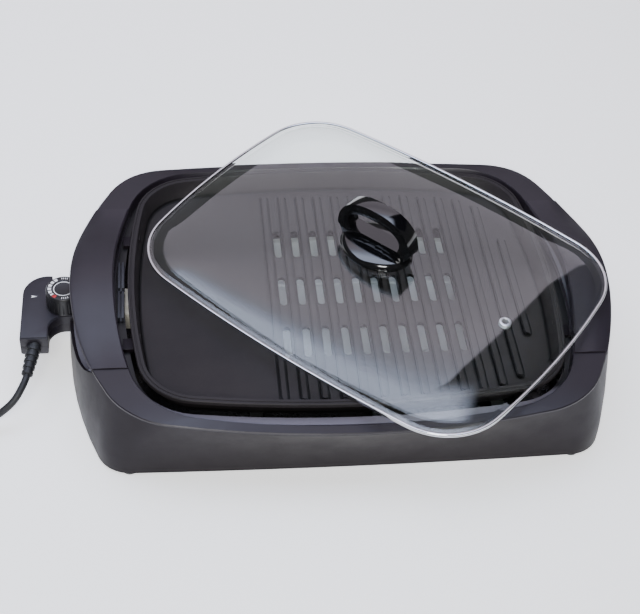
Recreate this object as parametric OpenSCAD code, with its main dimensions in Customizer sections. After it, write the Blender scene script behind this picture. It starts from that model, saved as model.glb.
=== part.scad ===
// Electric indoor grill: a flared base with two arched handles, a lift-out ridged plate,
// a loose glass lid laid askew on top, and a pull-out thermostat control with its cord.
// Millimetres. Z is up. The origin is the centre of the base on the table.
// X runs along the long side, +Y is the back. The control is at -X.

/* [Base housing] */
// Length of the base where it meets the table
base_length = 547; // [520:1:570]
// Depth of the base where it meets the table
base_depth = 342; // [330:1:350]
// Corner radius of the base at the table
base_corner_r = 34; // [28:1:45]
// Thickness of the moulded walls
wall = 2.6; // [2:0.1:3.2]
// Height of the rubber feet
foot_height = 2.6; // [2:0.1:5]
// Radius of a rubber foot
foot_r = 9; // [6:0.5:11]
// Lowest height of the scooped wall under the handles
scoop_low = 56; // [50:1:62]

/* [Top ring and handles] */
// Length of the top ring over both handles
ring_length = 535.4; // [520:1:550]
// Depth of the top ring
ring_depth = 384; // [374:1:394]
// Corner radius of the top ring
ring_corner_r = 75; // [65:1:82]
// Height of the ring at the middle of the front and the back
ring_low = 78; // [76.8:0.2:82]
// Height of the ring at the handle seams
ring_high = 86.4; // [85:0.2:90]
// Height of the handles at their middle
handle_height = 101; // [96:0.5:106]
// Distance between the two seams of one handle
handle_span = 222; // [200:1:230]
// Thickness of a handle
handle_thick = 12; // [9:0.5:13]
// Width of the ring's frame at the front and the back, at the ledge
band_width = 14; // [12:0.5:18]
// How far the ring's inner wall leans out, from the ledge to the top, at the front and the back
ring_flare = 3.6; // [1:0.2:4]
// Width of a handle at its middle
handle_width = 41.7; // [38:0.5:46]
// Height of the ledge inside the ring
ledge_z = 74; // [72:0.2:74.4]

/* [Grill plate] */
// Length of the plate over its flange
plate_length = 426; // [416:1:430]
// Depth of the plate over its flange
plate_depth = 334; // [324:1:336]
// Corner radius of the plate's flange
plate_corner_r = 58; // [50:1:64]
// Height of the flange's top
flange_z = 90; // [88:0.5:94]
// Width of the flange
flange_w = 7; // [6:0.2:9]
// Height of the cooking floor
floor_z = 68; // [66:0.5:72]
// Thickness of the cooking floor
floor_t = 4; // [3:0.5:5]
// Number of ridges
ridge_count = 14; // [8:1:14]
// Spacing of the ridges
ridge_pitch = 19; // [17:0.5:19.5]
// X of the last ridge, on the right
ridge_last_x = 178.6; // [170:0.2:180]
// Width of a ridge
ridge_w = 6.8; // [5:0.2:8]
// Height of a ridge above the floor
ridge_h = 3.5; // [2:0.1:5]
// Half length of the long ridges
ridge_half = 144; // [130:1:146]
// Width of the groove that each ridge stands in
ridge_groove_w = 10.7; // [9:0.1:11]
// Depth of that groove
ridge_groove_d = 1; // [0.5:0.1:1.5]
// Width of a fat slot
slot_w = 7.6; // [5:0.2:8]
// Length of a fat slot
slot_len = 39.5; // [30:0.5:44]
// Distance from one row of slots to the next
slot_pitch = 69; // [60:0.5:72]
// Y of the middle row of slots
slot_mid_y = 2; // [-4:0.5:6]
// Number of slots in a row, one between each pair of ridges from the left
slot_count = 10; // [5:1:13]

/* [Lid] */
// Length of the lid over its rim
lid_length = 426; // [420:1:430]
// Depth of the lid over its rim
lid_depth = 320; // [316:1:324]
// Corner radius of the lid
lid_corner_r = 68; // [62:1:74]
// Rise of the glass from its edge to its middle
lid_rise = 17; // [14:0.5:22]
// Thickness of the glass
glass_t = 3; // [3:0.2:4.4]
// Width of the lid's rim
rim_w = 2.6; // [2.2:0.1:4.4]
// Angle by which the lid is laid askew on the plate
lid_turn = -43.5; // [-45:0.1:-41]
// X of the lid's centre where it lies
lid_x = 34.7; // [32:0.1:38]
// Y of the lid's centre where it lies
lid_y = 13.4; // [10:0.1:16]
// Length of the lid's handle along the lid
bail_length = 86; // [78:1:96]
// Height of the lid's handle above the glass
bail_height = 54; // [48:1:62]
// Width of the lid's handle across the lid
bail_width = 16; // [12:0.5:20]
// Thickness of the loop of the lid's handle
bail_t = 12; // [8:0.5:13]
// Half length of the domed base under the handle
boss_r = 39; // [35:0.5:42]
// Half width of the domed base under the handle
boss_w = 31; // [22:0.5:36]
// Distance of the steam vent from the middle of the lid
vent_at = 152; // [146:0.5:154]
// Radius of the vent hole
vent_r = 3.2; // [2:0.1:3.6]

/* [Heater and tray] */
// Radius of the heater's steel sheath
heater_r = 3.3; // [2.8:0.1:3.6]
// Half distance between the heater's long runs
heater_half_y = 115; // [100:1:122]
// Bend radius of the heater
heater_bend = 20; // [16:1:24]
// Half length of the drip tray
tray_half_x = 196; // [180:1:200]
// Half depth of the drip tray
tray_half_y = 114; // [106:1:130]
// Height of the drip tray's rim
tray_top = 38; // [30:1:40]

/* [Control] */
// Height of the control's probe above the table
probe_z = 51; // [50:0.2:51.4]
// Radius of the probe tube
probe_r = 3.2; // [2.5:0.1:3.6]
// Reach of the probe from the control's nose
probe_reach = 116; // [90:1:118]
// Radius of a terminal pin
pin_r = 2.25; // [1.8:0.05:2.5]
// Half distance between the terminal pins
pin_half = 10.5; // [10:0.1:11]
// Half width of the control's nose
nose_half = 17.5; // [17:0.5:18.5]
// Height of the control's housing
control_h = 23.5; // [22:0.5:24]
// Radius of the dial
dial_r = 18; // [15:0.5:18.5]
// Height of the dial above the housing
dial_h = 20.7; // [16:0.1:21]

/* [Cord] */
// Diameter of the cord
cord_d = 7; // [6:0.1:7]

/* [Hidden] */
$fn = 48;

gap = 0.2;          // clearance between pieces that rest together
thread_gap = 0.05;  // clearance of a screw or pin in its hole
side_steps = 6;     // outline segments on a quarter's end arc
corner_steps = 8;   // outline segments on a corner
front_steps = 5;    // outline segments on a quarter's front arc

ledge_w = 9;        // width of the ledge inside the ring
pan_flange = 6;     // width of the pan's flange at its ends

// ---- Outlines: [half length, half depth, corner radius, front radius, end radius] ----
base_shape = [base_length / 2, base_depth / 2, base_corner_r, 8000, 380];
ring_shape = [ring_length / 2, ring_depth / 2, ring_corner_r, 1160, 290];
inner_shape = [ring_length / 2 - handle_width, ring_depth / 2 - band_width, ring_corner_r, 1146, 440];
ledge_shape = [inner_shape[0] - ledge_w, inner_shape[1] - ledge_w, 62, 1140, 560];
plate_shape = [plate_length / 2, plate_depth / 2, plate_corner_r, 1125, 640];
lid_shape = [lid_length / 2, lid_depth / 2, lid_corner_r, 1700, 760];
pan_shape = [inner_shape[0] - pan_flange, base_depth / 2 - wall - 2, 62, 1140, 470];
tray_shape = [tray_half_x, tray_half_y, 45, 1100, 700];

// Centre of the corner arc in the +X +Y quarter: it is tangent to the end arc and the front arc.
function corner_at(s) =
    let (c1 = [0, s[1] - s[3]], c2 = [s[0] - s[4], 0], p1 = s[3] - s[2], p2 = s[4] - s[2],
        d = norm(c2 - c1), u = (c2 - c1) / d, t = (p1 * p1 - p2 * p2 + d * d) / (2 * d),
        h = sqrt(p1 * p1 - t * t))
    c1 + t * u + h * [u[1], -u[0]];

// One quarter of an outline, set in by d, from the end's middle to the front's middle.
function quarter(s, d) =
    let (p = corner_at(s), c1 = [0, s[1] - s[3]], c2 = [s[0] - s[4], 0],
        ae = atan2(p[1], p[0] - c2[0]), af = atan2(p[1] - c1[1], p[0]))
    concat(
        [for (i = [0:side_steps]) let (a = ae * i / side_steps) c2 + (s[4] - d) * [cos(a), sin(a)]],
        [for (i = [1:corner_steps]) let (a = ae + (af - ae) * i / corner_steps)
            p + (s[2] - d) * [cos(a), sin(a)]],
        [for (i = [1:front_steps]) let (a = af + (90 - af) * i / front_steps)
            c1 + (s[3] - d) * [cos(a), sin(a)]]);

// The whole outline, counter-clockwise from +X.
function outline(s, d = 0) =
    let (q = quarter(s, d), n = len(q))
    concat(q,
        [for (i = [n - 2:-1:0]) [-q[i][0], q[i][1]]],
        [for (i = [1:n - 1]) [-q[i][0], -q[i][1]]],
        [for (i = [n - 2:-1:1]) [q[i][0], -q[i][1]]]);

// X of an outline's end arc at a given Y.
function end_x(s, y, d = 0) = s[0] - s[4] + sqrt(pow(s[4] - d, 2) - y * y);
// Y of an outline's front arc at a given X.
function front_y(s, x, d = 0) = s[1] - s[3] + sqrt(pow(s[3] - d, 2) - x * x);
// A flat ring of points at one height.
function at_z(pts, z) = [for (p = pts) [p[0], p[1], z]];
// An outline between two others; bends are blended, not radii.
function mix_shape(a, b, k) = [a[0] + (b[0] - a[0]) * k, a[1] + (b[1] - a[1]) * k,
    a[2] + (b[2] - a[2]) * k, 1 / (1 / a[3] + (1 / b[3] - 1 / a[3]) * k),
    1 / (1 / a[4] + (1 / b[4] - 1 / a[4]) * k)];
function scaled(s, k) = [for (v = s) v * k];

// A skin through rings of points that run up the outside; a loop joins its last ring to its first.
module skin(rings, loop = false) {
    n = len(rings[0]);
    m = len(rings);
    last = loop ? m - 1 : m - 2;
    sides = [for (i = [0:last], k = [0:n - 1])
        let (j = (i + 1) % m, q = (k + 1) % n)
        each [[i * n + k, j * n + k, j * n + q], [i * n + k, j * n + q, i * n + q]]];
    caps = loop ? [] : [[for (k = [0:n - 1]) k], [for (k = [n - 1:-1:0]) (m - 1) * n + k]];
    polyhedron(points = [for (r = rings) each r], faces = concat(sides, caps), convexity = 10);
}

// A bar with round ends along Y, cut from z0 to z1.
module capsule(w, half, z0, z1) {
    translate([0, 0, z0]) linear_extrude(z1 - z0) {
        square([w, 2 * half - w], center = true);
        for (s = [-1, 1]) translate([0, s * (half - w / 2)]) circle(d = w);
    }
}

module at_both_ends() {
    children();
    mirror([1, 0, 0]) children();
}

// A pan-head screw that points up, with its head's underside at the origin.
module screw(r, len, head_r, head_h) {
    translate([0, 0, -head_h]) cylinder(r = head_r, h = head_h);
    translate([0, 0, -head_h / 2]) cylinder(r = r, h = len + head_h / 2);
}

// ---- Base: heights that several pieces share ----
half_span = handle_span / 2;
shell_bottom = foot_height;
lip_w = 30;                          // bottom lip that carries the feet
band_t = wall;
skirt_t = 2.4;                       // thickness of the ring's inner wall
ledge_t = 2.5;
handle_proud = 1.2;
edge_drop = 5;                       // thickness of a handle at its outer edge
pad_half = half_span - 14;           // the recess rises to the handle's seats outside this
ring_x = end_x(inner_shape, half_span);

// Height of the ring's top at a station of the outline.
function ring_z(x) = ring_low + (ring_high - ring_low) * min(1, pow(abs(x) / ring_x, 2));
// Height of a handle's top along its span.
function handle_z(y) = ring_high + handle_proud
    + (handle_height - ring_high - handle_proud) * pow(cos(90 * y / half_span), 2);
// Height that the ring is cut down to between the seams, where the handle's ends sit.
seat_z = handle_z(half_span) - handle_thick - gap;
// Top edge of the flared wall in the scoop under a handle.
scoop_high = ring_high + handle_proud - edge_drop - 0.3;
function scoop_z(y) = scoop_low + (scoop_high - scoop_low) * pow(min(1, abs(y) / half_span), 4.1);
// Outline of the flared wall at a share u of its height.
function wall_shape(u) = mix_shape(base_shape, ring_shape, u * u);
function wall_share(z) = (z - shell_bottom) / (ring_high - band_t - shell_bottom);

module scoop(clear) {
    curve = [for (i = [-24:24]) let (y = i / 24 * (half_span + clear)) [y, scoop_z(y)]];
    for (s = [-1, 1])
        translate([s * (ring_length / 2 + 5), 0, 0]) rotate([90, 0, 90])
            linear_extrude(100, center = true)
                polygon(concat(curve, [[half_span + clear, 200], [-half_span - clear, 200]]));
}

nose_slot = nose_half + 0.8;
notch_x = max(base_length, ring_length) / 2 + 1;
notch_low = probe_z - control_h / 2 - 1;

module base_shell() {
    top = outline(ring_shape);
    // a ring of the wall at a share u of the height under each point of the top ring
    function wall_ring(u, d) = let (o = outline(wall_shape(u), d))
        [for (k = [0:len(o) - 1])
            [o[k][0], o[k][1], shell_bottom + u * (ring_z(top[k][0]) - band_t - gap - shell_bottom)]];
    outer = [for (u = [0, 0.12, 0.28, 0.46, 0.64, 0.82, 1]) wall_ring(u, 0)];
    inner = [for (u = [1, 0.7, 0.4, 0.15]) wall_ring(u, wall)];
    color("#45434b") difference() {
        union() {
            skin(concat(outer, inner, [at_z(outline(base_shape, wall), shell_bottom)]), true);
            translate([0, 0, shell_bottom]) linear_extrude(wall) difference() {
                polygon(outline(base_shape, wall / 2));
                polygon(outline(base_shape, lip_w));
            }
        }
        scoop(0.2);
        // notch that the control's nose passes through
        translate([-notch_x, -nose_slot, notch_low])
            cube([abs(base_length - ring_length) / 2 + 30, 2 * nose_slot, 60]);
        // each foot sits in a round pocket, with its stud through the lip
        for (x = [-1, 1], y = [-1, 1]) translate([x * foot_x, y * foot_y, 0]) {
            cylinder(r = foot_stud_r + thread_gap, h = 20);
            cylinder(r = foot_r + gap, h = shell_bottom + foot_seat);
        }
    }
}

foot_x = corner_at(base_shape)[0] + 1.6;
foot_y = base_depth / 2 - foot_r - wall;
foot_stud_r = 2.4;
foot_seat = 0.8;                     // depth of a foot's pocket

module foot_pads() {
    color("#26262a") for (x = [-1, 1], y = [-1, 1]) translate([x * foot_x, y * foot_y, 0]) {
        cylinder(r1 = foot_r - 0.8, r2 = foot_r, h = foot_height + foot_seat);
        cylinder(r = foot_stud_r, h = shell_bottom + wall + 0.4);
        translate([0, 0, shell_bottom + wall + 0.2]) cylinder(r1 = foot_stud_r + 0.8, r2 = 1.6, h = 2);
    }
}

// Places of the screws that hold the pan under the ledge.
boss_h = 2.5;
boss_inset = 2.8;
boss_xy = concat(
    [for (x = [-110, 0, 110], s = [-1, 1]) [x, s * front_y(inner_shape, x, boss_inset)]],
    [for (y = [-60, 60], s = [-1, 1]) [s * end_x(inner_shape, y, boss_inset), y]]);
pan_screw_r = 1.4;

module top_frame() {
    o = outline(ring_shape);
    zr = [for (p = o) ring_z(p[0])];
    function ring_at(pts, dz) = [for (k = [0:len(pts) - 1]) [pts[k][0], pts[k][1], zr[k] + dz]];
    under = outline(inner_shape, -skirt_t);
    // the ring's inner edge, set in by d and leaning out towards the middle of the front and the back
    function lean_out(d) = let (a = outline(inner_shape, d), b = outline(inner_shape, d - ring_flare))
        [for (k = [0:len(a) - 1]) a[k] + (b[k] - a[k]) * (1 - min(1, pow(abs(a[k][0]) / ring_x, 4)))];
    color("#4b4955") difference() {
        union() {
            skin([ring_at(o, -band_t), ring_at(o, -0.8), ring_at(outline(ring_shape, 0.8), 0),
                ring_at(lean_out(-0.8), 0), ring_at(lean_out(0), -0.8),
                at_z(outline(inner_shape, 0.6), ledge_z),
                at_z(outline(ledge_shape), ledge_z), at_z(outline(ledge_shape), ledge_z - ledge_t),
                at_z(under, ledge_z - ledge_t), ring_at(lean_out(-skirt_t), -band_t)], true);
            for (p = boss_xy) translate([p[0], p[1], ledge_z - ledge_t - boss_h])
                cylinder(r = 3.4, h = boss_h + 0.5);
        }
        for (p = boss_xy) translate([p[0], p[1], ledge_z - ledge_t - boss_h - 1])
            cylinder(r = pan_screw_r + thread_gap, h = boss_h + 3);
        for (s = [-1, 1]) translate([s * (ring_length / 2 - 20), 0, seat_z + 50])
            cube([110, handle_span + 0.2, 100], center = true);
    }
}

// ---- Handles: arched bars whose section is lofted along Y ----
seam_gap = 0.15;
handle_steps = 16;
function handle_section(y) =
    let (xi = end_x(inner_shape, y), xo = end_x(ring_shape, y) + 0.8, z = handle_z(y))
    [[xi, y, z - handle_thick], [xi, y, z - 1.5], [xi + 1.5, y, z], [(xi + xo) / 2, y, z + 0.5],
        [xo - 2.6, y, z], [xo - 0.7, y, z - 0.9], [xo, y, z - 2.6], [xo - 0.6, y, z - 4.4],
        [xo - 4, y, z - edge_drop], [xo - 14, y, z - handle_thick]];

handle_screw_y = half_span - 7;
handle_screw_r = 1.7;
function handle_screw_x() = end_x(inner_shape, handle_screw_y) + 11;

module handle_right() {
    y_end = half_span - seam_gap;
    color("#484653") difference() {
        skin([for (i = [-handle_steps:handle_steps]) handle_section(y_end * i / handle_steps)]);
        for (s = [-1, 1]) translate([handle_screw_x(), s * handle_screw_y, seat_z - 1])
            cylinder(r = handle_screw_r + thread_gap, h = 9);
    }
}

module handle_left() {
    mirror([1, 0, 0]) handle_right();
}

// ---- Recesses: troughs under the handles with a seat for the handle at each end ----
recess_t = 2.4;
function recess_section(y) =
    let (xb = end_x(inner_shape, y) + skirt_t + gap, ze = scoop_z(y) - 0.3,
        pad = abs(y) >= pad_half, zf = pad ? seat_z : ze - 5,
        xw = end_x(wall_shape(wall_share(ze)), y, wall) - 4 * gap,
        zo = min(ze, handle_z(y) - edge_drop - 2.5), zb = handle_z(y) - handle_thick - gap)
    [[xb, y, zf - recess_t], [xb, y, max(zb, zf)], [xb + recess_t, y, max(zb, zf)],
        [xb + recess_t + 0.2, y, zf], [xw - 9, y, zf], [xw, y, zo], [xw, y, zo - recess_t],
        [xw - 9, y, zf - recess_t]];

module recess_right() {
    y_end = half_span - seam_gap;
    ys = concat([-y_end, -pad_half - 7, -pad_half], [for (i = [-14:14]) (pad_half - 0.5) * i / 14],
        [pad_half, pad_half + 7, y_end]);
    color("#5d5a66") difference() {
        skin([for (y = ys) recess_section(y)]);
        for (s = [-1, 1]) translate([handle_screw_x(), s * handle_screw_y, seat_z - 10])
            cylinder(r = handle_screw_r + thread_gap, h = 12);
    }
}

module recess_left() {
    color("#5d5a66") difference() {
        mirror([1, 0, 0]) recess_right();
        translate([-notch_x, -nose_slot, notch_low])
            cube([notch_x - inner_shape[0] + 10, 2 * nose_slot, control_h + 1.6]);
    }
}

module handle_screws() {
    color("#8d8d90") for (x = [-1, 1], y = [-1, 1])
        translate([x * handle_screw_x(), y * handle_screw_y, seat_z - recess_t])
            screw(handle_screw_r, recess_t + 7.5, 3.2, 2);
}

// ---- Pan: the heat-proof tub that hangs inside the base ----
pan_floor = shell_bottom + wall + 3;
pan_t = 1.2;
pan_top = ledge_z - ledge_t - boss_h;
block_half = 18;
block_x = end_x(pan_shape, block_half, pan_t) - 0.3;
nose_end = block_x + pan_t + 2.4;    // distance of the control's nose from the middle
hole_gap = 1.2;

module base_pan() {
    s = pan_shape;
    color("#1d1c20") difference() {
        skin([at_z(outline(s, 3), pan_floor), at_z(outline(s), pan_floor + 3),
            at_z(outline(s), pan_top - pan_t), at_z(outline(inner_shape), pan_top - pan_t),
            at_z(outline(inner_shape), pan_top), at_z(outline(s, pan_t), pan_top),
            at_z(outline(s, pan_t), pan_floor + pan_t + 2),
            at_z(outline(s, pan_t + 2), pan_floor + pan_t)]);
        for (p = boss_xy) translate([p[0], p[1], pan_top - 5])
            cylinder(r = pan_screw_r + thread_gap, h = 8);
        for (y = [-pin_half, 0, pin_half]) translate([-block_x - 6, y, probe_z]) rotate([0, 90, 0])
            cylinder(r = (y == 0 ? probe_r : pin_r) + hole_gap, h = 12);
    }
}

module pan_screws() {
    color("#8d8d90") for (p = boss_xy) translate([p[0], p[1], pan_top - pan_t])
        screw(pan_screw_r, pan_t + boss_h + ledge_t - 1, 2.6, 1.6);
}

// ---- Rests for the plate, and the guard beside the socket ----
rest_y = 72;
rest_h = 4;
rest_top = ledge_z + rest_h;

module plate_rests() {
    color("#6f6e73") at_both_ends() for (y = [-1, 1])
        translate([end_x(ledge_shape, rest_y) - 8, y * rest_y - 7, ledge_z]) cube([ledge_w + 4.5, 14, rest_h]);
}

guard_gap = 4;
guard_len = 37;
guard_w = ledge_w - 2;

module socket_guard() {
    x0 = end_x(ledge_shape, guard_len) + 0.6;
    color("#a9adb8") for (s = [-1, 1]) translate([-x0 - guard_w, s * (guard_gap + guard_len) / 2, ledge_z]) {
        translate([0, -guard_len / 2, 0]) cube([guard_w, guard_len, 1.4]);
        for (x = [0.6, guard_w - 2.6]) translate([x, -guard_len / 2, 0]) cube([2, guard_len, 6]);
    }
}

// ---- Drip tray with pressed stiffening beads ----
tray_t = 1.2;
tray_z = pan_floor + pan_t + gap;
bead_r = 2.2;

module tray_bead_frame(half_x, half_y, r) {
    for (s = [-1, 1]) {
        translate([-half_x + r, s * half_y, 0]) rotate([0, 90, 0])
            cylinder(r = bead_r, h = 2 * (half_x - r), $fn = 24);
        translate([s * half_x, -half_y + r, 0]) rotate([-90, 0, 0])
            cylinder(r = bead_r, h = 2 * (half_y - r), $fn = 24);
    }
    for (a = [0, 90, 180, 270])
        translate([(a == 0 || a == 270 ? 1 : -1) * (half_x - r), (a < 180 ? 1 : -1) * (half_y - r), 0])
            rotate([0, 0, a]) rotate_extrude(angle = 90) translate([r, 0]) circle(r = bead_r, $fn = 24);
}

module drip_tray() {
    z = tray_z;
    color("#b9bbbf") {
        skin([at_z(outline(tray_shape, 14), z), at_z(outline(tray_shape, 8), z + 4),
            at_z(outline(tray_shape, 5), tray_top - tray_t), at_z(outline(tray_shape, 0), tray_top - tray_t),
            at_z(outline(tray_shape, 0), tray_top), at_z(outline(tray_shape, 5 + tray_t), tray_top),
            at_z(outline(tray_shape, 8 + tray_t), z + 4 + tray_t),
            at_z(outline(tray_shape, 14 + tray_t), z + tray_t)]);
        translate([0, 0, z + tray_t]) intersection() {
            union() {
                tray_bead_frame(tray_half_x - 50, tray_half_y - 46, 24);
                tray_bead_frame(tray_half_x - 95, tray_half_y - 80, 24);
            }
            translate([0, 0, bead_r]) cube([2 * tray_half_x, 2 * tray_half_y, 2 * bead_r], center = true);
        }
    }
}

// ---- Heater: one bent sheath over the tray, on six brackets ----
heater_z = floor_z - floor_t - 1 - heater_r;
heater_left = -165;
heater_right = 186;
heater_exit = 14;
block_w = 21;

// Corners that the sheath turns at, in order, between its two cold ends.
heater_path = [[-block_x + block_w, heater_exit], [heater_left, heater_exit],
    [heater_left, heater_half_y], [heater_right, heater_half_y], [heater_right, -heater_half_y],
    [heater_left, -heater_half_y], [heater_left, -heater_exit], [-block_x + block_w, -heater_exit]];

module heating_element() {
    p = heater_path;
    n = len(p);
    color("#3c3b3e") translate([0, 0, heater_z]) {
        for (i = [0:n - 2]) {
            d = (p[i + 1] - p[i]) / norm(p[i + 1] - p[i]);
            a = p[i] + d * (i == 0 ? 0 : heater_bend);
            b = p[i + 1] - d * (i == n - 2 ? 0 : heater_bend);
            translate([a[0], a[1], 0]) rotate([0, 0, atan2(d[1], d[0])]) rotate([0, 90, 0])
                cylinder(r = heater_r, h = norm(b - a));
        }
        for (i = [1:n - 2]) {
            d0 = (p[i] - p[i - 1]) / norm(p[i] - p[i - 1]);
            d1 = (p[i + 1] - p[i]) / norm(p[i + 1] - p[i]);
            left = d0[0] * d1[1] - d0[1] * d1[0] > 0;
            c = p[i] + (d1 - d0) * heater_bend;
            start = atan2(d0[1], d0[0]) + (left ? -90 : 0);
            translate([c[0], c[1], 0]) rotate([0, 0, start]) rotate_extrude(angle = 90)
                translate([heater_bend, 0]) circle(r = heater_r);
        }
    }
}

bracket_t = 1.5;

module heater_brackets() {
    color("#8f9196") for (x = [-95, 20, 135], s = [-1, 1]) {
        y1 = front_y(pan_shape, abs(x) + 6, pan_t) - gap;
        y0 = heater_half_y - heater_r - 4;
        z = heater_z - heater_r - gap - bracket_t;
        mirror([0, s < 0 ? 1 : 0, 0]) {
            translate([x - 6, y0, z]) cube([12, y1 - y0, bracket_t]);
            translate([x - 6, y1 - bracket_t, z - 12]) cube([12, bracket_t, 12.5]);
            translate([x - 6, y0, z]) cube([12, bracket_t, bracket_t + 5]);
        }
    }
}

// ---- Terminals in the left wall ----
block_z0 = probe_z - 8.5;
block_z1 = floor_z - floor_t - 1;
pin_out = 20;

module terminal_block() {
    color("#d8d3c6") difference() {
        translate([-block_x, -block_half, block_z0]) cube([block_w, 2 * block_half, block_z1 - block_z0]);
        translate([-block_x - 1, 0, probe_z]) rotate([0, 90, 0])
            cylinder(r = probe_r + hole_gap, h = block_w + 2);
        for (s = [-1, 1]) translate([-block_x - 1, s * pin_half, probe_z]) rotate([0, 90, 0])
            cylinder(r = pin_r + thread_gap, h = 13);
    }
}

module terminal_pins() {
    color("#c3c6cb") for (s = [-1, 1]) translate([-block_x - pin_out, s * pin_half, probe_z])
        rotate([0, 90, 0]) {
            cylinder(r1 = pin_r - 1, r2 = pin_r, h = 2);
            translate([0, 0, 2]) cylinder(r = pin_r, h = pin_out + 9);
        }
}

// ---- Grill plate ----
groove_at = 2.4;
wall_in = flange_w + 3.6;            // how far the floor is set in from the flange's edge
boss_half = 9;                       // half width of the boss that the probe runs under
boss_x0 = -block_x + block_w + 12;
boss_x1 = -nose_end + probe_reach + 6;
boss_low = probe_z + probe_r + 0.6;  // underside of the boss, just over the probe
cheek_low = probe_z - probe_r - 1.5;
ridge_first_x = ridge_last_x - (ridge_count - 1) * ridge_pitch;

// Half length of a ridge: the last ones are shorter, to follow the corner.
function ridge_len(x) = let (in = plate_length / 2 - wall_in - x)
    in < 35 ? ridge_half - 74 : in < 55 ? ridge_half - 20 : in < 75 ? ridge_half - 9
    : ridge_half - (x > 90 ? 4 : 0);

module grill_plate() {
    s = plate_shape;
    z0 = floor_z - floor_t;
    ridges = [for (k = [0:ridge_count - 1]) ridge_first_x + k * ridge_pitch];
    color("#4a4548") difference() {
        union() {
            difference() {
                skin([at_z(outline(s, wall_in + 2), z0), at_z(outline(s, wall_in - 0.6), z0 + 2.4),
                    at_z(outline(s, 5), flange_z - 5.6), at_z(outline(s, 0.6), flange_z - 5),
                    at_z(outline(s, 0), flange_z - 4.2), at_z(outline(s, 0), flange_z - 0.6),
                    at_z(outline(s, 0.6), flange_z), at_z(outline(s, groove_at - 0.4), flange_z),
                    at_z(outline(s, groove_at), flange_z - 0.7),
                    at_z(outline(s, groove_at + 0.8), flange_z - 0.7),
                    at_z(outline(s, groove_at + 1.2), flange_z),
                    at_z(outline(s, flange_w - 0.6), flange_z),
                    at_z(outline(s, flange_w), flange_z - 0.7),
                    at_z(outline(s, wall_in - 0.8), floor_z + 3.5),
                    at_z(outline(s, wall_in + 0.4), floor_z + 0.9),
                    at_z(outline(s, wall_in + 2.6), floor_z)]);
                for (x = ridges) translate([x, 0, 0])
                    capsule(ridge_groove_w, ridge_len(x) + 2, floor_z - ridge_groove_d, floor_z + 1);
            }
            for (x = ridges) translate([x, 0, 0]) {
                capsule(ridge_w, ridge_len(x), floor_z - 1.5, floor_z + ridge_h - 1.1);
                capsule(ridge_w - 2.2, ridge_len(x) - 1.1, floor_z - 1.5, floor_z + ridge_h);
            }
            at_both_ends() for (y = [-1, 1])
                translate([end_x(s, rest_y, flange_w + 1), y * rest_y - 6, rest_top + gap])
                    cube([end_x(s, rest_y, 3.5) - end_x(s, rest_y, flange_w + 1), 12,
                        flange_z - 4.8 - rest_top - gap]);
        }
        for (k = [0:min(slot_count, ridge_count - 1) - 1], row = [-1:1])
            translate([ridge_first_x + (k + 0.5) * ridge_pitch, slot_mid_y + row * slot_pitch, 0])
                capsule(slot_w, slot_len / 2, z0 - 1, floor_z + 1);
    }
}

// The boss cast under the floor, which the probe lies against.
module probe_boss() {
    color("#4a4548") translate([boss_x0, -boss_half, boss_low])
        cube([boss_x1 - boss_x0, 2 * boss_half, floor_z - floor_t - boss_low]);
}

// The two cheeks cast under the boss: the probe runs in the channel between them.
module probe_cheeks() {
    y0 = probe_r + hole_gap;
    color("#4a4548") for (s = [0, 1]) mirror([0, s, 0]) translate([boss_x0, y0, cheek_low])
        cube([boss_x1 - boss_x0, boss_half - y0, boss_low - cheek_low]);
}

// ---- Lid: where it rests, worked out from the three places that carry it ----
// It lies on the flange at the back and the front, and on the crown of the right handle.
rest_gap = 0.3;
rim_t = 0.6;                         // thickness of the rim's sheet
glass_z0 = rim_t + gap;              // underside of the glass edge above the rim's underside
rim_h = glass_z0 + glass_t + gap;
function flange_mid(x) = front_y(plate_shape, x, flange_w / 2);
back_y = flange_mid(plate_length * 0.28);
back_v = (back_y - lid_y + lid_length / 2 * sin(lid_turn)) / cos(lid_turn);
rest_back = [lid_x - lid_length / 2 * cos(lid_turn) - back_v * sin(lid_turn), back_y,
    flange_z + rest_gap];
front_u = (-flange_mid(10) - lid_y + lid_depth / 2 * cos(lid_turn)) / sin(lid_turn);
rest_front = [lid_x + front_u * cos(lid_turn) + lid_depth / 2 * sin(lid_turn), -flange_mid(10),
    flange_z + rest_gap];
rest_right = [ring_length / 2 - 9.7, 0, handle_height + 0.5 + rest_gap];
rest_normal = cross(rest_front - rest_back, rest_right - rest_back);
lid_lean = acos(rest_normal[2] / norm(rest_normal));
lid_z = rest_back[2] - (rest_normal[0] * (lid_x - rest_back[0]) + rest_normal[1] * (lid_y - rest_back[1]))
    / rest_normal[2];

// Puts a piece drawn flat, with its rim's underside at z = 0, where the lid lies.
module laid() {
    translate([lid_x, lid_y, lid_z]) rotate(lid_lean, [-rest_normal[1], rest_normal[0], 0])
        rotate([0, 0, lid_turn]) children();
}

dome_in = 6.5;                       // flat margin of the pane that the rim grips
dome_shape = [for (k = [0:4]) lid_shape[k] - dome_in];
vent_band = [0.66, 0.77];            // shares of the lid between which the vent sits on a flat of the dome
function glass_rise(t) = lid_rise * (0.42 * (1 - pow(t, 14)) + 0.58 * (1 - t * t));
glass_top = glass_z0 + lid_rise + glass_t;

// The vent's place on the underside of the glass, square to the dome.
module at_vent() {
    climb = (glass_rise(vent_band[1]) - glass_rise(vent_band[0])) / (vent_band[1] - vent_band[0]);
    z = glass_z0 + glass_rise(vent_band[0]) + climb * (vent_at / dome_shape[0] - vent_band[0]);
    translate([vent_at, 0, z]) rotate([0, -atan(climb / dome_shape[0]), 0]) children();
}

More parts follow.
